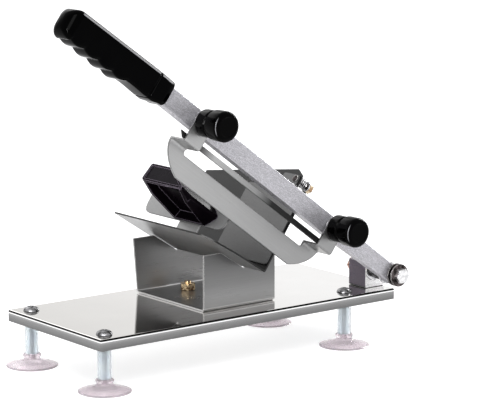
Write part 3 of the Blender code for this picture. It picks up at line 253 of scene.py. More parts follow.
def make_stage():
    """White paper under the slicer: matt, with a glow that only what sees it directly gets."""
    mesh = bpy.data.meshes.new("floor")
    corners = [(FLOOR_HALF * a, FLOOR_HALF * b, FLOOR_LEVEL) for a, b in ((-1, -1), (1, -1), (1, 1), (-1, 1))]
    mesh.from_pydata(corners, [], [(0, 1, 2, 3)])
    floor = added("floor", mesh)
    paper = bpy.data.materials.new("floor_paper")
    paper.use_nodes = True
    tree = paper.node_tree
    tree.nodes.clear()
    out = tree.nodes.new("ShaderNodeOutputMaterial")
    diffuse = tree.nodes.new("ShaderNodeBsdfDiffuse")
    diffuse.inputs["Color"].default_value = (*grey(FLOOR_SHADE), 1)
    glow = tree.nodes.new("ShaderNodeEmission")
    glow.inputs["Strength"].default_value = FLOOR_GLOW
    nothing = tree.nodes.new("ShaderNodeEmission")
    nothing.inputs["Strength"].default_value = 0.0
    pick = tree.nodes.new("ShaderNodeMixShader")
    both = tree.nodes.new("ShaderNodeAddShader")
    link = tree.links.new
    link(seen_directly(tree), pick.inputs[0])
    link(nothing.outputs[0], pick.inputs[1])
    link(glow.outputs[0], pick.inputs[2])
    link(diffuse.outputs[0], both.inputs[0])
    link(pick.outputs[0], both.inputs[1])
    link(both.outputs[0], out.inputs["Surface"])
    mesh.materials.append(paper)


# Materials

def grey(level):
    return (level, level, level)


def tinted(colour, factor):
    return tuple(min(c * factor, 1.0) for c in colour)


class Surface:
    """A Principled material with short calls for the nodes that the looks below share."""

    def __init__(self, name, **values):
        self.material = bpy.data.materials.new(name)
        self.material.use_nodes = True
        self.tree = self.material.node_tree
        self.shader = self.tree.nodes["Principled BSDF"]
        self.fill(self.shader, values)
        coord = self.node("TexCoord")
        self.place = coord.outputs["Object"]
        self.normal = coord.outputs["Normal"]

    def fill(self, node, values):
        for key, value in values.items():
            node.inputs[key.replace("_", " ")].default_value = value

    def node(self, kind, **values):
        made = self.tree.nodes.new("ShaderNode" + kind)
        self.fill(made, values)
        return made

    def link(self, source, target):
        self.tree.links.new(source, target)

    def feed(self, socket, value):
        """A number, a colour, a direction or another node's output, put into a socket."""
        if isinstance(value, (int, float)):
            socket.default_value = value
        elif isinstance(value, tuple):
            socket.default_value = (*value, 1.0)[:len(socket.default_value)]
        else:
            self.link(value, socket)

    def mapped(self, scale=(1, 1, 1), rotation=FLAT, vector=None):
        node = self.node("Mapping", Scale=scale, Rotation=rotation)
        self.link(vector or self.place, node.inputs["Vector"])
        return node.outputs[0]

    def turned_then_scaled(self, rotation, scale):
        return self.mapped(scale, vector=self.mapped(rotation=rotation))

    def noise(self, scale, detail=3.0, roughness=0.5, vector=None):
        node = self.node("TexNoise", Scale=scale, Detail=detail, Roughness=roughness)
        self.link(vector or self.place, node.inputs["Vector"])
        return node.outputs["Fac"]

    def ramp(self, value, stops):
        """A run of greys or colours set at values from 0 to 1."""
        node = self.node("ValToRGB")
        elements = node.color_ramp.elements
        while len(elements) < len(stops):
            elements.new(0.5)
        for element, (place, colour) in zip(elements, stops):
            element.position = place
            element.color = (*(colour if isinstance(colour, tuple) else grey(colour)), 1.0)
        self.link(value, node.inputs["Fac"])
        return node.outputs["Color"]

    def varied(self, noise, low, high):
        """A grey or colour that goes from low to high with a noise."""
        return self.ramp(noise, tuple(zip(NOISE_RANGE, (low, high))))

    def span(self, value, low, high, to_low=0.0, to_high=1.0):
        """A value between low and high carried over to a new range, and held at its ends."""
        node = self.node("MapRange", From_Min=low, From_Max=high, To_Min=to_low, To_Max=to_high)
        self.link(value, node.inputs["Value"])
        return node.outputs[0]

    def maths(self, operation, first, second):
        node = self.node("Math")
        node.operation = operation
        self.feed(node.inputs[0], first)
        self.feed(node.inputs[1], second)
        return node.outputs[0]

    def times(self, first, second):
        return self.maths("MULTIPLY", first, second)

    def blend(self, first, second, share=1.0, kind="MULTIPLY"):
        node = self.node("Mix")
        node.data_type = "RGBA"
        node.blend_type = kind
        for socket, value in zip((node.inputs[0], node.inputs[6], node.inputs[7]), (share, first, second)):
            self.feed(socket, value)
        return node.outputs[2]

    def painted(self, first, second, share):
        """The second colour over the first, where the share says so."""
        return self.blend(first, second, share, "MIX")

    def dot(self, first, second):
        node = self.node("VectorMath")
        node.operation = "DOT_PRODUCT"
        self.feed(node.inputs[0], first)
        self.feed(node.inputs[1], second)
        return node.outputs["Value"]

    def along(self, direction):
        """Metres along a direction, in the object's own space."""
        return self.dot(self.place, direction)

    def facing(self, direction):
        """Dot product of the surface's normal with a direction, in the object's own space."""
        return self.dot(self.normal, direction)

    def graded(self, direction, stops):
        """Greys or colours set at metres along a direction."""
        start, end = stops[0][0], stops[-1][0]
        share = self.span(self.along(direction), start, end)
        return self.ramp(share, [((place - start) / (end - start), colour) for place, colour in stops])

    def edges(self, width):
        """0 on a flat face, rising at its edges."""
        bevel = self.node("Bevel", Radius=width)
        bevel.samples = 4
        geometry = self.node("NewGeometry")
        return self.span(self.dot(bevel.outputs[0], geometry.outputs["Normal"]), 0.995, 0.90)

    def colour(self, value):
        self.link(value, self.shader.inputs["Base Color"])

    def rough(self, value):
        self.link(value, self.shader.inputs["Roughness"])

    def bump(self, value, strength, distance):
        node = self.node("Bump", Strength=strength, Distance=distance)
        self.link(value, node.inputs["Height"])
        self.link(node.outputs[0], self.shader.inputs["Normal"])


def brushed(name, colour, turn, grain_scale, roughness, contrast, painted_shade_grades=(), edge=0.0, grit=0.0, metal=1.0,
            painted_shade_above=None, painted_light_and_shade=(), line=PALE_EDGE_HIGHLIGHT):
    """Metal with a fine directional grain, faint stains, and painted light and shade graded along directions.

    Faces that look up can carry a painted shade of their own, and faces that look other given ways a painted
    light or shade. Edges are painted with the line, a painted highlight or painted shade, and grit speckles
    the whole.
    """
    s = Surface(name, Metallic=metal, Roughness=roughness)
    grain = s.noise(1.0, detail=4.0, roughness=0.6, vector=s.turned_then_scaled(turn, grain_scale))
    cloud = s.noise(28.0)
    tint = s.varied(grain, tinted(colour, 1 - contrast), tinted(colour, 1 + contrast))
    # Painted light and shade, graded along directions.
    for direction, stops in painted_shade_grades:
        tint = s.blend(tint, s.graded(direction, stops))
    # Painted shade on faces that look up.
    if painted_shade_above:
        tint = s.painted(tint, s.blend(painted_shade_above, s.varied(grain, 0.94, 1.0)), s.span(s.facing(UP), 0.05, 0.15))
    # Painted light or shade on faces that look a given way.
    for shade, direction in painted_light_and_shade:
        tint = s.painted(tint, shade, s.span(s.facing(direction), 0.75, 0.95))
    if grit:
        speck = s.noise(1400.0, detail=2.0)
        tint = s.blend(tint, s.ramp(speck, ((0.35, 1 - grit), (0.65, 1.0))))
    # Painted edge line: a pale painted highlight or a dark painted shade, as the line's colour says; edge is
    # its strength.
    if edge:
        line_colour, line_width = line
        tint = s.painted(tint, line_colour, s.times(s.edges(line_width), edge))
    s.colour(tint)
    wear = s.maths("ADD", s.times(grain, 0.6), s.times(cloud, 0.4))
    s.rough(s.span(wear, *NOISE_RANGE, roughness * 0.8, roughness * 1.25))
    s.bump(grain, strength=0.12, distance=0.0002)
    return s.material


def polished_plate():
    """The base plate: a mirror on top with a painted reflection that brightens to the right, and a duller
    apron with a painted dark line under its top edge, a painted highlight band below it, and painted shade
    that darkens downwards.
    """
    s = Surface("base_mirror", Metallic=1.0, Roughness=0.03)
    # Painted reflection on the mirror top: brighter to the right.
    top = s.graded(RIGHT, ((-0.015, (0.66, 0.645, 0.62)), (0.10, (0.75, 0.73, 0.71)),
                           (0.26, (0.92, 0.91, 0.90))))
    cloud = s.noise(22.0, detail=4.0)
    top = s.blend(top, s.varied(cloud, 0.96, 1.0))
    # The apron's painted light and shade by height: shade that darkens downwards, a painted highlight band,
    # and a painted dark line just under the top edge.
    apron = s.graded(UP, ((0.0380, 0.07), (0.0390, 0.11), (0.0425, 0.16), (0.0465, 0.22), (0.0484, 0.32),
                          (0.0488, 0.85), (0.0495, 0.85), (0.0498, 0.006), (0.0513, 0.006), (0.0514, 1.0)))
    grain = s.noise(1.0, detail=4.0, roughness=0.6, vector=s.mapped((40, 40, 1500)))
    apron = s.blend(apron, s.varied(grain, 0.90, 1.0))
    on_top = s.span(s.along(UP), 0.05130, 0.05142)
    under = s.span(s.facing(UP), -0.6, -0.8)
    s.colour(s.painted(s.painted(apron, grey(0.45), under), top, on_top))
    s.rough(s.painted(grey(0.26), s.varied(cloud, 0.03, 0.06), on_top))
    return s.material


def plated(name, colour, dark, roughness, line=None):
    """Plating that is darker and duller in patches, with a painted line along the edges if its colour is
    given: a dark painted shade or a pale painted highlight.
    """
    s = Surface(name, Metallic=1.0, Roughness=roughness)
    patch = s.noise(300.0, detail=4.0)
    tint = s.ramp(patch, ((0.38, dark), (0.60, colour)))
    # The line along the edges is a painted shade or a painted highlight.
    if line:
        tint = s.painted(tint, line, s.times(s.edges(PLATED_LINE_WIDTH), 0.9))
    s.colour(tint)
    s.rough(s.span(patch, *NOISE_RANGE, roughness, roughness * 1.8))
    s.bump(s.noise(1500.0, detail=2.0), strength=0.10, distance=0.0002)
    return s.material


def moulded(name, colour, roughness, shine, edge_highlight=0.0, highlight_facing=None, rim=False):
    """Dark plastic with a fine moulded grain, and painted highlights as paler colour where asked for.

    The edge highlight pales the edges, the highlight facing pales where the surface looks in the given
    direction, and the rim is a painted highlight arc on the left of a knob's end.
    """
    s = Surface(name, Roughness=roughness, Specular_IOR_Level=shine)
    cloud = s.noise(60.0)
    tint = s.ramp(cloud, ((0.35, colour), (0.75, tuple(c * 1.35 + 0.0003 for c in colour))))
    if edge_highlight:
        # Painted highlight: paler edges.
        tint = s.painted(tint, EDGE_HIGHLIGHT_PLASTIC, s.times(s.edges(EDGE_HIGHLIGHT_WIDTH), edge_highlight))
    if highlight_facing:
        # Painted highlight: a pale line where the surface looks in the given direction.
        tint = s.painted(tint, GRIP_HIGHLIGHT_COLOUR, s.span(s.facing(highlight_facing), 0.975, 0.993))
    # Painted highlight: a pale arc on the rounding at the left of a knob's end.
    if rim:
        ahead = s.facing(FRONT)
        ring = s.times(s.span(ahead, 0.58, 0.66), s.span(ahead, 0.76, 0.68))
        left = s.span(s.facing(KNOB_HIGHLIGHT_SIDE), 0.58, 0.70)
        near_end = s.span(s.along(FRONT), 0.060, 0.062)
        tint = s.painted(tint, KNOB_HIGHLIGHT_COLOUR, s.times(ring, s.times(left, near_end)))
    s.colour(tint)
    s.rough(s.span(cloud, *NOISE_RANGE, roughness * 0.85, roughness * 1.25))
    s.bump(s.noise(900.0, detail=2.0), strength=0.05, distance=0.0002)
    return s.material


def clear_plastic(name, colour, roughness, through):
    """See-through plastic, faintly cloudy and wavy. Through is the share of light that passes."""
    s = Surface(name, Roughness=roughness, IOR=1.35, Transmission_Weight=through, Specular_IOR_Level=0.35)
    cloud = s.noise(90.0)
    s.colour(s.varied(cloud, colour, tinted(colour, 1.08)))
    s.bump(cloud, strength=0.05, distance=0.0005)
    return s.material


def make_looks():
    # The stand, by height: a painted highlight on the floor's cut edge, a painted dark reflection on the
    # floor's top, a painted highlight along the bend, and painted shade that deepens up the walls; its far
    # wall is painted lighter.
    stand_painted_shades = ((UP, ((0.0515, 0.95), (0.0530, 0.95), (0.0532, 0.10), (0.0534, 0.10), (0.0536, 0.75),
                          (0.0544, 0.75), (0.0548, 0.46), (0.075, 0.28), (0.104, 0.15))),
                    (BACK, ((0.0132, 1.0), (0.1145, 1.0), (0.1160, 1.5))))
    # The trough: painted shade that darkens to the right, a little lighter again at its right end.
    trough_painted_shades = ((RIGHT, ((0.085, 0.90), (0.12, 0.50), (0.165, 0.26), (0.21, 0.34))),)
    # The blade: painted light that brightens along the arm towards the grip.
    blade_painted_light = ((ALONG_ARM, ((-0.20, 0.92), (-0.08, 1.04), (0.06, 1.34))),)
    # The bar under the arm: a painted reflection, dark at both ends and paler between.
    bar_painted_reflection = ((ALONG_ARM, ((-0.115, 0.02), (-0.035, 0.03), (-0.012, 0.30), (0.045, 0.48), (0.062, 0.10),
                               (0.08, 0.02))),)
    # The pivot block: a painted shadow along its foot.
    block_painted_shadow = ((UP, ((0.0514, 0.03), (0.0528, 0.05), (0.0534, 1.0), (0.10, 1.0))),)
    return {
        "base": polished_plate(),
        # The stand's edges carry a pale painted highlight.
        "stand": brushed("stand_steel", grey(0.62), FLAT, (40, 40, 1800), roughness=0.30, contrast=0.05,
                         painted_shade_grades=stand_painted_shades, edge=0.8, metal=0.75),
        # The trough's faces that look up carry a dark painted shade, its faces that look to the front or up
        # the floor's slope a near-black painted shade, and its edges a dark painted line.
        "trough": brushed("trough_steel", grey(0.54), FLAT, (1500, 40, 1500), roughness=0.34, contrast=0.05,
                          painted_shade_grades=trough_painted_shades, edge=0.85, metal=0.45, painted_shade_above=grey(0.095),
                          painted_light_and_shade=((NEAR_BLACK, FRONT), (NEAR_BLACK, UP_FLOOR)), line=DARK_EDGE_SHADE),
        "guide": brushed("guide_steel", grey(0.12), FLAT, (1500, 40, 1500), roughness=0.34, contrast=0.08,
                         edge=0.85, grit=0.2, metal=0.4, line=DARK_EDGE_SHADE),
        "press": brushed("press_steel", grey(0.36), FLAT, (60, 1500, 60), roughness=0.40, contrast=0.06,
                         edge=0.85, grit=0.15, metal=0.35, line=DARK_EDGE_SHADE),
        "runner": brushed("runner_steel", grey(0.26), FLAT, (60, 1500, 60), roughness=0.40, contrast=0.10,
                          edge=0.5),
        "blade": brushed("blade_steel", grey(0.28), ARM_TURN, (30, 30, 1600), roughness=0.32, contrast=0.05,
                         painted_shade_grades=blade_painted_light, edge=0.9, metal=0.8, line=DARK_EDGE_SHADE),
        "bar": brushed("bar_steel", grey(0.80), ARM_TURN, (30, 30, 1600), roughness=0.40, contrast=0.08,
                       painted_shade_grades=bar_painted_reflection),
        "arm": brushed("arm_aluminium", (0.66, 0.65, 0.69), ARM_TURN, (200, 500, 900), roughness=0.45,
                       contrast=0.18, edge=0.4, grit=0.6, metal=0.6),
        # The pivot block's front face is painted light and its other faces darker, and its edges carry a pale
        # painted highlight.
        "block": brushed("block_aluminium", (0.14, 0.12, 0.15), FLAT, (900, 900, 900), roughness=0.45,
                         contrast=0.20, painted_shade_grades=block_painted_shadow, edge=0.7, grit=0.35, metal=0.75,
                         painted_light_and_shade=(((1.0, 0.99, 1.0), FRONT),)),
        "chrome": plated("bright_plating", (0.62, 0.62, 0.63), (0.30, 0.30, 0.31), roughness=0.16),
        # Painted edge lines: dark painted shade on the bright head and the zinc, a pale painted highlight on
        # the dull washer.
        "bright": plated("bright_head", grey(0.80), (0.52, 0.52, 0.53), roughness=0.20, line=grey(0.03)),
        "dull": plated("dull_washer", (0.10, 0.085, 0.085), (0.012, 0.010, 0.010), roughness=0.25,
                       line=(0.75, 0.73, 0.72)),
        "spring": plated("spring_steel", (0.16, 0.155, 0.16), grey(0.012), roughness=0.16),
        "screw": plated("screw_steel", (0.30, 0.30, 0.31), grey(0.07), roughness=0.22),
        "zinc": plated("yellow_zinc", (0.84, 0.67, 0.42), (0.20, 0.10, 0.05), roughness=0.20,
                       line=(0.03, 0.015, 0.01)),
        "pale_zinc": plated("pale_zinc", (0.86, 0.74, 0.54), (0.34, 0.22, 0.13), roughness=0.22,
                            line=(0.03, 0.02, 0.012)),
        "copper": plated("copper_plating", (0.46, 0.27, 0.21), (0.12, 0.05, 0.04), roughness=0.22),
        "black": moulded("black_moulding", BLACK_PLASTIC, roughness=0.12, shine=0.035),
        # The knobs carry a painted highlight arc on their rims.
        "knob": moulded("knob_moulding", BLACK_PLASTIC, roughness=0.12, shine=0.03, rim=True),
        # The grip carries a painted highlight line along its top front edge.
        "grip": moulded("grip_moulding", BLACK_PLASTIC, roughness=0.10, shine=0.02, highlight_facing=GRIP_HIGHLIGHT_FACING),
        # The hand block's edges carry a pale painted highlight.
        "purple": moulded("block_moulding", (0.0035, 0.0022, 0.0036), roughness=0.24, shine=0.012, edge_highlight=0.8),
        "panel": moulded("panel_moulding", (0.006, 0.004, 0.007), roughness=0.24, shine=0.05),
        "sleeve": clear_plastic("sleeve_plastic", (0.88, 0.94, 1.0), roughness=0.14, through=0.74),
        "cup": clear_plastic("cup_vinyl", (0.86, 0.79, 0.83), roughness=0.25, through=0.80),
    }


# Modelling

def arc(centre, radius, start, end, steps):
    """Points of an arc, its angles in degrees."""
    points = []
    for index in range(steps + 1):
        turn = math.radians(start + (end - start) * index / steps)
        points.append((centre[0] + radius * math.cos(turn), centre[1] + radius * math.sin(turn)))
    return points


def softened(corners, steps=4):
    """An outline from (a, b, radius) corners, with an arc wherever the radius isn't zero."""
    side_share = 0.49
    outline = []
    for index, (a, b, radius) in enumerate(corners):
        here = Vector((a, b))
        if not radius:
            outline.append((a, b))
            continue
        before = Vector(corners[index - 1][:2]) - here
        after = Vector(corners[(index + 1) % len(corners)][:2]) - here
        half = before.angle(after) / 2
        reach = min(radius / math.tan(half), before.length * side_share, after.length * side_share)
        start, end = here + before.normalized() * reach, here + after.normalized() * reach
        middle = (before.normalized() + after.normalized()).normalized()
        centre = here + middle * (reach * math.tan(half)) / math.sin(half)
        turn = (start - centre).angle_signed(end - centre)
        for step in range(steps + 1):
            spoke = (start - centre).copy()
            spoke.rotate(Matrix.Rotation(-turn * step / steps, 2))
            outline.append(tuple(centre + spoke))
    return outline


def skin(rings):
    """A closed mesh over rings of points, where the last ring may be a single point."""
    bm = bmesh.new()
    rings = [[bm.verts.new(point) for point in ring] for ring in rings]
    for near, far in zip(rings, rings[1:]):
        for index in range(len(near)):
            after = (index + 1) % len(near)
            beyond = (far[0],) if len(far) == 1 else (far[after], far[index])
            bm.faces.new((near[index], near[after], *beyond))
    bm.faces.new(list(reversed(rings[0])))
    if len(rings[-1]) > 1:
        bm.faces.new(rings[-1])
    return bm


def placed(name, data, body):
    """A mesh or curve as a piece of the visual: it rides on a body."""
    made = added(name, data)
    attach(made, body)
    return made


def keep(name, bm, look, body, matrix, smooth=35.0):
    """A bmesh as a piece with one look or a list of them, sharp at edges over the smooth angle in degrees."""
    bmesh.ops.recalc_face_normals(bm, faces=bm.faces)
    mesh = bpy.data.meshes.new(name)
    bm.transform(matrix)
    bm.to_mesh(mesh)
    bm.free()
    mesh.shade_smooth()
    mesh.set_sharp_from_angle(angle=math.radians(smooth))
    for one in look if isinstance(look, list) else [look]:
        mesh.materials.append(one)
    return placed(name, mesh, body)


def lathe(name, profile, look, body, matrix, steps=72, smooth=35.0):
    """A (radius, height) profile turned about the matrix's Z axis."""
    bm = bmesh.new()
    points = [bm.verts.new((radius, 0, height)) for radius, height in profile]
    edges = [bm.edges.new(pair) for pair in zip(points, points[1:])]
    if profile[0][0] or profile[-1][0]:
        edges.append(bm.edges.new((points[-1], points[0])))
    bmesh.ops.spin(bm, geom=points + edges, cent=(0, 0, 0), axis=UP, angle=math.tau, steps=steps,
                   use_merge=True)
    bmesh.ops.remove_doubles(bm, verts=bm.verts, dist=WELD)
    return keep(name, bm, look, body, matrix, smooth)


def washer(name, inner, outer, thickness, look, body, matrix, edge=0.0003):
    corners = ((inner, 0), (outer, 0), (outer, thickness), (inner, thickness))
    profile = softened([(radius, height, edge) for radius, height in corners], 3)
    return lathe(name, profile, look, body, matrix)


def threaded(name, radius, length, look, body, matrix):
    """A rod with a real helical thread and a chamfered end."""
    around, per_pitch = 28, 6
    chamfer_length = THREAD_DEPTH * 1.4
    rows = int(length / THREAD_PITCH * per_pitch)
    rings = []
    for row in range(rows + 1):
        height = length * row / rows
        chamfer = max(0.0, chamfer_length - (length - height))
        ring = []
        for index in range(around):
            turn = math.tau * index / around
            phase = (height / THREAD_PITCH - index / around) % 1.0
            groove = THREAD_DEPTH * (1 - abs(2 * phase - 1))
            here = radius - max(groove, chamfer)
            ring.append((here * math.cos(turn), here * math.sin(turn), height))
        rings.append(ring)
    return keep(name, skin(rings), look, body, matrix, smooth=50.0)


def coil(name, radius, wire, length, turns, look, body, matrix):
    """A round-wire compression spring whose two ends run straight into what they meet."""
    per_turn = 28
    lead = 2 * wire
    pitch = (length - 2 * lead) / turns
    path = [Vector((radius, 0, 0))]
    for index in range(turns * per_turn + 1):
        turn = math.tau * index / per_turn
        height = lead + pitch * index / per_turn
        path.append(Vector((radius * math.cos(turn), radius * math.sin(turn), height)))
    path.append(Vector((path[-1].x, path[-1].y, length)))
    curve = bpy.data.curves.new(name, "CURVE")
    curve.dimensions = "3D"
    curve.bevel_depth = wire
    curve.bevel_resolution = 4
    curve.use_fill_caps = True
    spline = curve.splines.new("POLY")
    spline.points.add(len(path) - 1)
    for point, place in zip(spline.points, path):
        point.co = (*place, 1.0)
    spline.use_smooth = True
    curve.materials.append(look)
    curve.transform(matrix)
    return placed(name, curve, body)


def bevelled(made, width, segments, angle):
    """Rounded edges on an object, where its faces meet at more than the angle in degrees."""
    bevel = made.modifiers.new("edge", "BEVEL")
    bevel.width = width
    bevel.segments = segments
    bevel.limit_method = "ANGLE"
    bevel.angle_limit = math.radians(angle)
    return bevel


def dress_cad(looks):
    """CAD solids shown as they are, with rounded edges and even shading."""
    for look, width, names in CAD_LOOKS:
        for name in names:
            made = nodes[name]
            made.data.materials.clear()
            made.data.materials.append(looks[look])
            for polygon in made.data.polygons:
                polygon.use_smooth = True
            bevel = bevelled(made, width, CAD_EDGE_STEPS, CAD_EDGE_ANGLE)
            bevel.harden_normals = True
            bevel.use_clamp_overlap = True
            weighted = made.modifiers.new("even", "WEIGHTED_NORMAL")
            weighted.keep_sharp = True
            weighted.weight = 100


def legs(looks):
    """Suction cups, clear sleeves and long screws with cross-recessed heads."""
    bore, radius, foot, head = 0.0040, 0.0064, -0.0400, -0.0018
    bore_edge, outer_edge = 0.0003, 0.0006
    outline = softened([(bore, foot, bore_edge), (radius, foot, outer_edge), (radius, head, outer_edge),
                        (bore, head, bore_edge)])
    for name, (x, y) in LEGS.items():
        here = SLICER @ shift(x, y, 0)
        cup(name, here, looks)
        sleeve = lathe("sleeve_" + name, outline, looks["sleeve"], "base", here)
        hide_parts("leg_sleeve_" + name)
        screw(name, here, looks)


def cup(name, here, looks):
    """A suction cup: a neck under the sleeve, a skirt that flares to the rim, and the hollow below it."""
    top, ground = -0.0403, -0.0515
    bore, neck, rim = 0.0026, 0.0084, 0.0240
    outer = [(bore, top), (0.0078, top), (neck, top - 0.0006), (neck, top - 0.0018),
             (0.0076, top - 0.0026), (0.0074, top - 0.0040), (0.0080, top - 0.0054),
             (0.0104, top - 0.0066), (0.0140, top - 0.0077), (0.0180, top - 0.0088),
             (0.0215, top - 0.0098), (0.0238, ground + 0.0007), (rim, ground + 0.0003), (0.0238, ground)]
    inner = [(0.0232, ground), (0.0205, ground + 0.0006), (0.0160, ground + 0.0016),
             (0.0100, ground + 0.0027), (0.0040, ground + 0.0032), (0.0, ground + 0.0033),
             (0.0, top - 0.0053), (bore, top - 0.0053)]
    made = lathe("cup_" + name, outer + inner, looks["cup"], "base", here,
                 steps=96, smooth=60.0)
    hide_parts("suction_cup_" + name)


def screw(name, here, looks):
    """A leg's screw: a domed head with a cross sunk in it, and a threaded shank that ends in the cup."""
    head, height, around, rows = 0.0074, 0.0040, 48, 10
    slot_half, slot_reach, slot_depth = 0.0008, 0.0030, 0.0012
    shank, shank_end, shank_length = 0.0025, -0.0450, 0.0449
    rings = []
    for row in range(rows + 1):
        radius = head * (1 - row / rows)
        lift = GAP + height * math.sqrt(1 - (radius / head) ** 2)
        ring = []
        for index in range(around if row < rows else 1):
            turn = math.tau * index / around
            a, b = radius * math.cos(turn), radius * math.sin(turn)
            inside = min(abs(a), abs(b)) < slot_half and max(abs(a), abs(b)) < slot_reach
            ring.append((a, b, lift - slot_depth if inside else lift))
        rings.append(ring)
    made = keep("screw_head_" + name, skin(rings), looks["screw"], "base", here, smooth=40.0)
    threaded("screw_shank_" + name, shank, shank_length, looks["chrome"], "base",
             here @ shift(0, 0, shank_end))
    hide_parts("leg_screw_" + name)


def knobs(looks):
    """The clamping knobs, each with its washer, spring and stud on an axis across the arm."""
    stud_height, stud_seat, stud_radius, stud_length = -0.0030, -0.0023, 0.0030, 0.0335
    spring_seat, spring_radius, spring_wire, spring_length, spring_turns = -0.0153, 0.0075, 0.0005, 0.0049, 2
    washer_seat, washer_bore, washer_radius, washer_thickness = -0.0223, 0.0033, 0.0090, 0.0012
    knob_seat = -0.0238
    for label, reach in KNOBS.items():
        axis = SWING @ shift(-reach, 0, stud_height)
        knob = lathe("knob_cap_" + label, knob_profile(), looks["knob"], "knob_" + label,
                     axis @ shift(0, knob_seat, 0) @ TO_FRONT, steps=96, smooth=25.0)
        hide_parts("knob_" + label)
        ring = washer("washer_" + label, washer_bore, washer_radius, washer_thickness, looks["chrome"],
                      "knob_washer_" + label, axis @ shift(0, washer_seat, 0) @ TO_FRONT)
        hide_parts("knob_washer_" + label)
        spring = coil("clamp_spring_" + label, spring_radius, spring_wire, spring_length, spring_turns,
                      looks["chrome"], "arm", axis @ shift(0, spring_seat, 0) @ TO_FRONT)
        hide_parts("stud_spring_" + label)
        stud = threaded("threaded_stud_" + label, stud_radius, stud_length, looks["chrome"], "arm",
                        axis @ shift(0, stud_seat, 0) @ TO_FRONT)
        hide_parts("stud_" + label)


def knob_profile():
    """From the bore out: a base collar, a waist groove, the body, and an end face sunk in a rim."""
    bore, bore_depth, radius, length, rounding = 0.0033, 0.0123, 0.0137, 0.0315, 0.0042
    collar = [(0, bore_depth), (bore, bore_depth), (bore, 0), (0.0112, 0),
              *arc((0.0115, 0.0010), 0.0010, -90, 0, 4), (0.0125, 0.0105)]
    waist = [*arc((0.0117, 0.0107), 0.0008, 0, 60, 3), (0.0114, 0.0122), (0.0113, 0.0130), (0.0114, 0.0140),
             (0.0120, 0.0148), *arc((0.0125, 0.0162), 0.0012, -70, 0, 4)]
    crown = arc((radius - rounding, length - rounding), rounding, 0, 90, 10)
    face = [(0.0088, length), (0.0084, 0.0312), (0.0, 0.0311)]
    return collar + waist + crown + face


def pivot(looks):
    """The washers, ring and spring on the pivot bolt."""
    bore, washer_radius, washer_thickness = 0.0043, 0.0108, 0.0015
    ring_seat, ring_radius, ring_thickness, ring_edge = -0.0171, 0.0098, 0.0024, 0.0007
    spring_seat, spring_radius, spring_wire, spring_length, spring_turns = -0.0029, 0.0072, 0.0010, 0.0163, 4
    stack = (("pivot_washer_front", -0.0153, "dull"), ("pivot_washer_outer", -0.0198, "dull"),
             ("pivot_washer_inner", -0.0032, "chrome"), ("pivot_washer_block", 0.0152, "chrome"))
    for name, seat, look in stack:
        made = washer(name + "_fine", bore, washer_radius, washer_thickness, looks[look], "base",
                      PIVOT @ shift(0, seat, 0) @ TO_FRONT)
        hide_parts(name)
    ring = washer("pivot_ring_fine", bore, ring_radius, ring_thickness, looks["black"], "base",
                  PIVOT @ shift(0, ring_seat, 0) @ TO_FRONT, edge=ring_edge)
    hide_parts("pivot_ring")
    spring = coil("pivot_coil", spring_radius, spring_wire, spring_length, spring_turns, looks["spring"],
                  "base", PIVOT @ shift(0, spring_seat, 0) @ TO_BACK)
    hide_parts("pivot_spring")


def adjuster(looks):
    """The spring and washer on the adjusting bolt, at the wall's near top corner."""
    spring_radius, spring_wire, spring_length, spring_turns = 0.0041, 0.00055, 0.0115, 4
    washer_seat, washer_bore, washer_radius, washer_thickness = -0.0121, 0.0028, 0.0052, 0.0012
    spring = coil("adjust_coil", spring_radius, spring_wire, spring_length, spring_turns, looks["chrome"],
                  "base", ADJUSTER @ shift(0, 0, -GAP) @ TO_FLOOR)
    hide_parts("adjust_spring")
    ring = washer("adjust_washer_fine", washer_bore, washer_radius, washer_thickness, looks["chrome"],
                  "adjust_washer", ADJUSTER @ shift(0, 0, washer_seat) @ TO_FLOOR)
    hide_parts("adjust_washer")


def grip(looks):
    """The handle: flat sides with rounded edges, a collar behind a groove, and four finger waves below."""
    body_rings, end_rings, last_step = 110, 12, 12.3
    marks = [0.0, 0.0004, GRIP_START_ROUND, 0.0060, 0.0120, 0.0165, 0.0171,
             GRIP_COLLAR, GRIP_GROOVE, 0.0186, 0.0192]
    body = GRIP_BODY_END - GRIP_BODY_START
    marks += [GRIP_BODY_START + body * index / body_rings for index in range(body_rings + 1)]
    for index in range(1, end_rings + 1):
        marks.append(GRIP_BODY_END + GRIP_END_ROUND * math.sin(math.radians(90) * index / last_step))
    made = keep("grip_fine", skin([grip_ring(mark) for mark in marks]), looks["grip"], "arm",
                SWING, smooth=75.0)
    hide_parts("grip")


def ease(value, start, length):
    """0 before the start, 1 after the length, and a smooth rise between."""
    share = min(max((value - start) / length, 0.0), 1.0)
    return share * share * (3 - 2 * share)


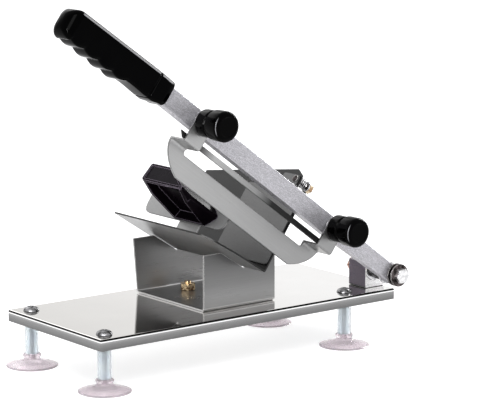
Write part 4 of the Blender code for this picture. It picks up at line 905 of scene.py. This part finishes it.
def grip_ring(mark):
    """The grip's outline at a mark along it: four rounded corners around its top, bottom and sides."""
    swell = ease(mark, GRIP_SWELL_START, GRIP_SWELL_LENGTH)
    belly = ease(mark, GRIP_COLLAR, GRIP_BELLY_LENGTH)
    body_run, body = max(mark - GRIP_BODY_START, 0.0), GRIP_BODY_END - GRIP_BODY_START
    rise = GRIP_COLLAR_RISE + GRIP_SWELL_RISE * swell - GRIP_TOP_DROP * body_run / body
    fall = GRIP_COLLAR_FALL + GRIP_SWELL_FALL * swell + GRIP_BELLY * belly
    wave_share = (mark - GRIP_WAVES_START) / (GRIP_BODY_END - GRIP_WAVES_START)
    if 0 < wave_share < 1:
        fall -= GRIP_WAVE_DEPTH * (1 - abs(math.sin(math.pi * GRIP_WAVES * wave_share)))
    elif wave_share <= 0:
        fall -= GRIP_WAVE_DEPTH * ease(mark, GRIP_COLLAR, GRIP_WAVES_LEAD)
    start = GRIP_START_DEPTH * (1 - ease(mark, 0.0, GRIP_START_ROUND))
    groove = GRIP_GROOVE_DEPTH * max(0.0, 1 - ((mark - GRIP_GROOVE) / GRIP_GROOVE_HALF) ** 2)
    pinch = start + groove
    top, bottom, wide = ARM_TOP + rise - pinch, ARM_BOTTOM - fall + pinch, GRIP_HALF_WIDTH - pinch
    if mark > GRIP_BODY_END:
        away = (mark - GRIP_BODY_END) / GRIP_END_ROUND
        shrink = GRIP_END_ROUND * (1 - math.sqrt(1 - away * away))
        top, bottom, wide = top - shrink, bottom + shrink, wide - shrink
    middle, tall = (top + bottom) / 2, (top - bottom) / 2
    radius = min(GRIP_CORNER, GRIP_CORNER_SHARE * wide, GRIP_CORNER_SHARE * tall)
    points = []
    for corner, (side, level) in enumerate(((1, 1), (-1, 1), (-1, -1), (1, -1))):
        centre_y = ARM_MIDDLE + (wide - radius) * side
        centre_z = middle + (tall - radius) * level
        for turn in (0, 10, 20, 30, 60, 70, 80, 90):
            angle = math.radians(corner * 90 + turn)
            y, z = centre_y + radius * math.cos(angle), centre_z + radius * math.sin(angle)
            points.append((-GRIP_START - mark, y, z))
    return points


def hand_block(looks):
    """The pusher's handle: a moulding that is hollow underneath, with a sunk panel in its end."""
    near, rounding = 0.0135, 0.0025
    foot_depth, lip_depth, face_depth = GAP, 0.0325, 0.0450
    hollow_rim, hollow_slope, hollow_depth = 0.0020, 0.0006, 0.0090
    panel_rim, panel_slope, panel_depth = 0.0021, 0.0005, 0.0012
    edge_width, edge_steps, edge_angle = 0.0006, 3, 30
    foot = ((0.0005, 0.0125), (0.0110, 0.0000), (0.0330, 0.0285), (0.0330, 0.0670), (0.0005, 0.0605))
    lip = ((0.0080, 0.0100), (0.0140, 0.0060), (0.0330, 0.0325), (0.0330, 0.0685), (0.0080, 0.0665))
    face = ((0.0155, 0.0112), (0.0190, 0.0128), (0.0330, 0.0350), (0.0330, 0.0685), (0.0155, 0.0725))
    rings = []
    for corners, depth in ((foot, foot_depth), (lip, lip_depth), (face, face_depth)):
        rings.append([(a, b, depth) for a, b in softened([(a, near + b, rounding) for a, b in corners])])
    bm = skin(rings)
    bm.faces.ensure_lookup_table()
    around = len(rings[0])
    under = [bm.faces[around - 1], bm.faces[2 * around - 1]]
    end = bm.faces[-1]
    bmesh.ops.recalc_face_normals(bm, faces=bm.faces)
    sink(bm, under, hollow_rim, hollow_slope, hollow_depth)
    sink(bm, [end], panel_rim, panel_slope, panel_depth)
    end.material_index = 1
    made = keep("hand_block_fine", bm, [looks["purple"], looks["panel"]], "pusher", PUSHER,
                smooth=edge_angle)
    bevelled(made, edge_width, edge_steps, edge_angle)
    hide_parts("hand_block")


def sink(bm, faces, rim, slope, depth):
    """Faces sunk by a depth inside a rim, with walls that lean in by the slope."""
    bmesh.ops.inset_region(bm, faces=faces, thickness=rim, use_even_offset=True)
    bmesh.ops.inset_region(bm, faces=faces, thickness=slope, depth=-depth, use_even_offset=True)


def main():
    bpy.context.scene.view_settings.view_transform = "Standard"
    make_camera()
    make_world()
    make_stage()
    for lamp in LAMPS:
        area_light(*lamp)
    looks = make_looks()
    dress_cad(looks)
    legs(looks)
    knobs(looks)
    pivot(looks)
    adjuster(looks)
    grip(looks)
    hand_block(looks)


main()
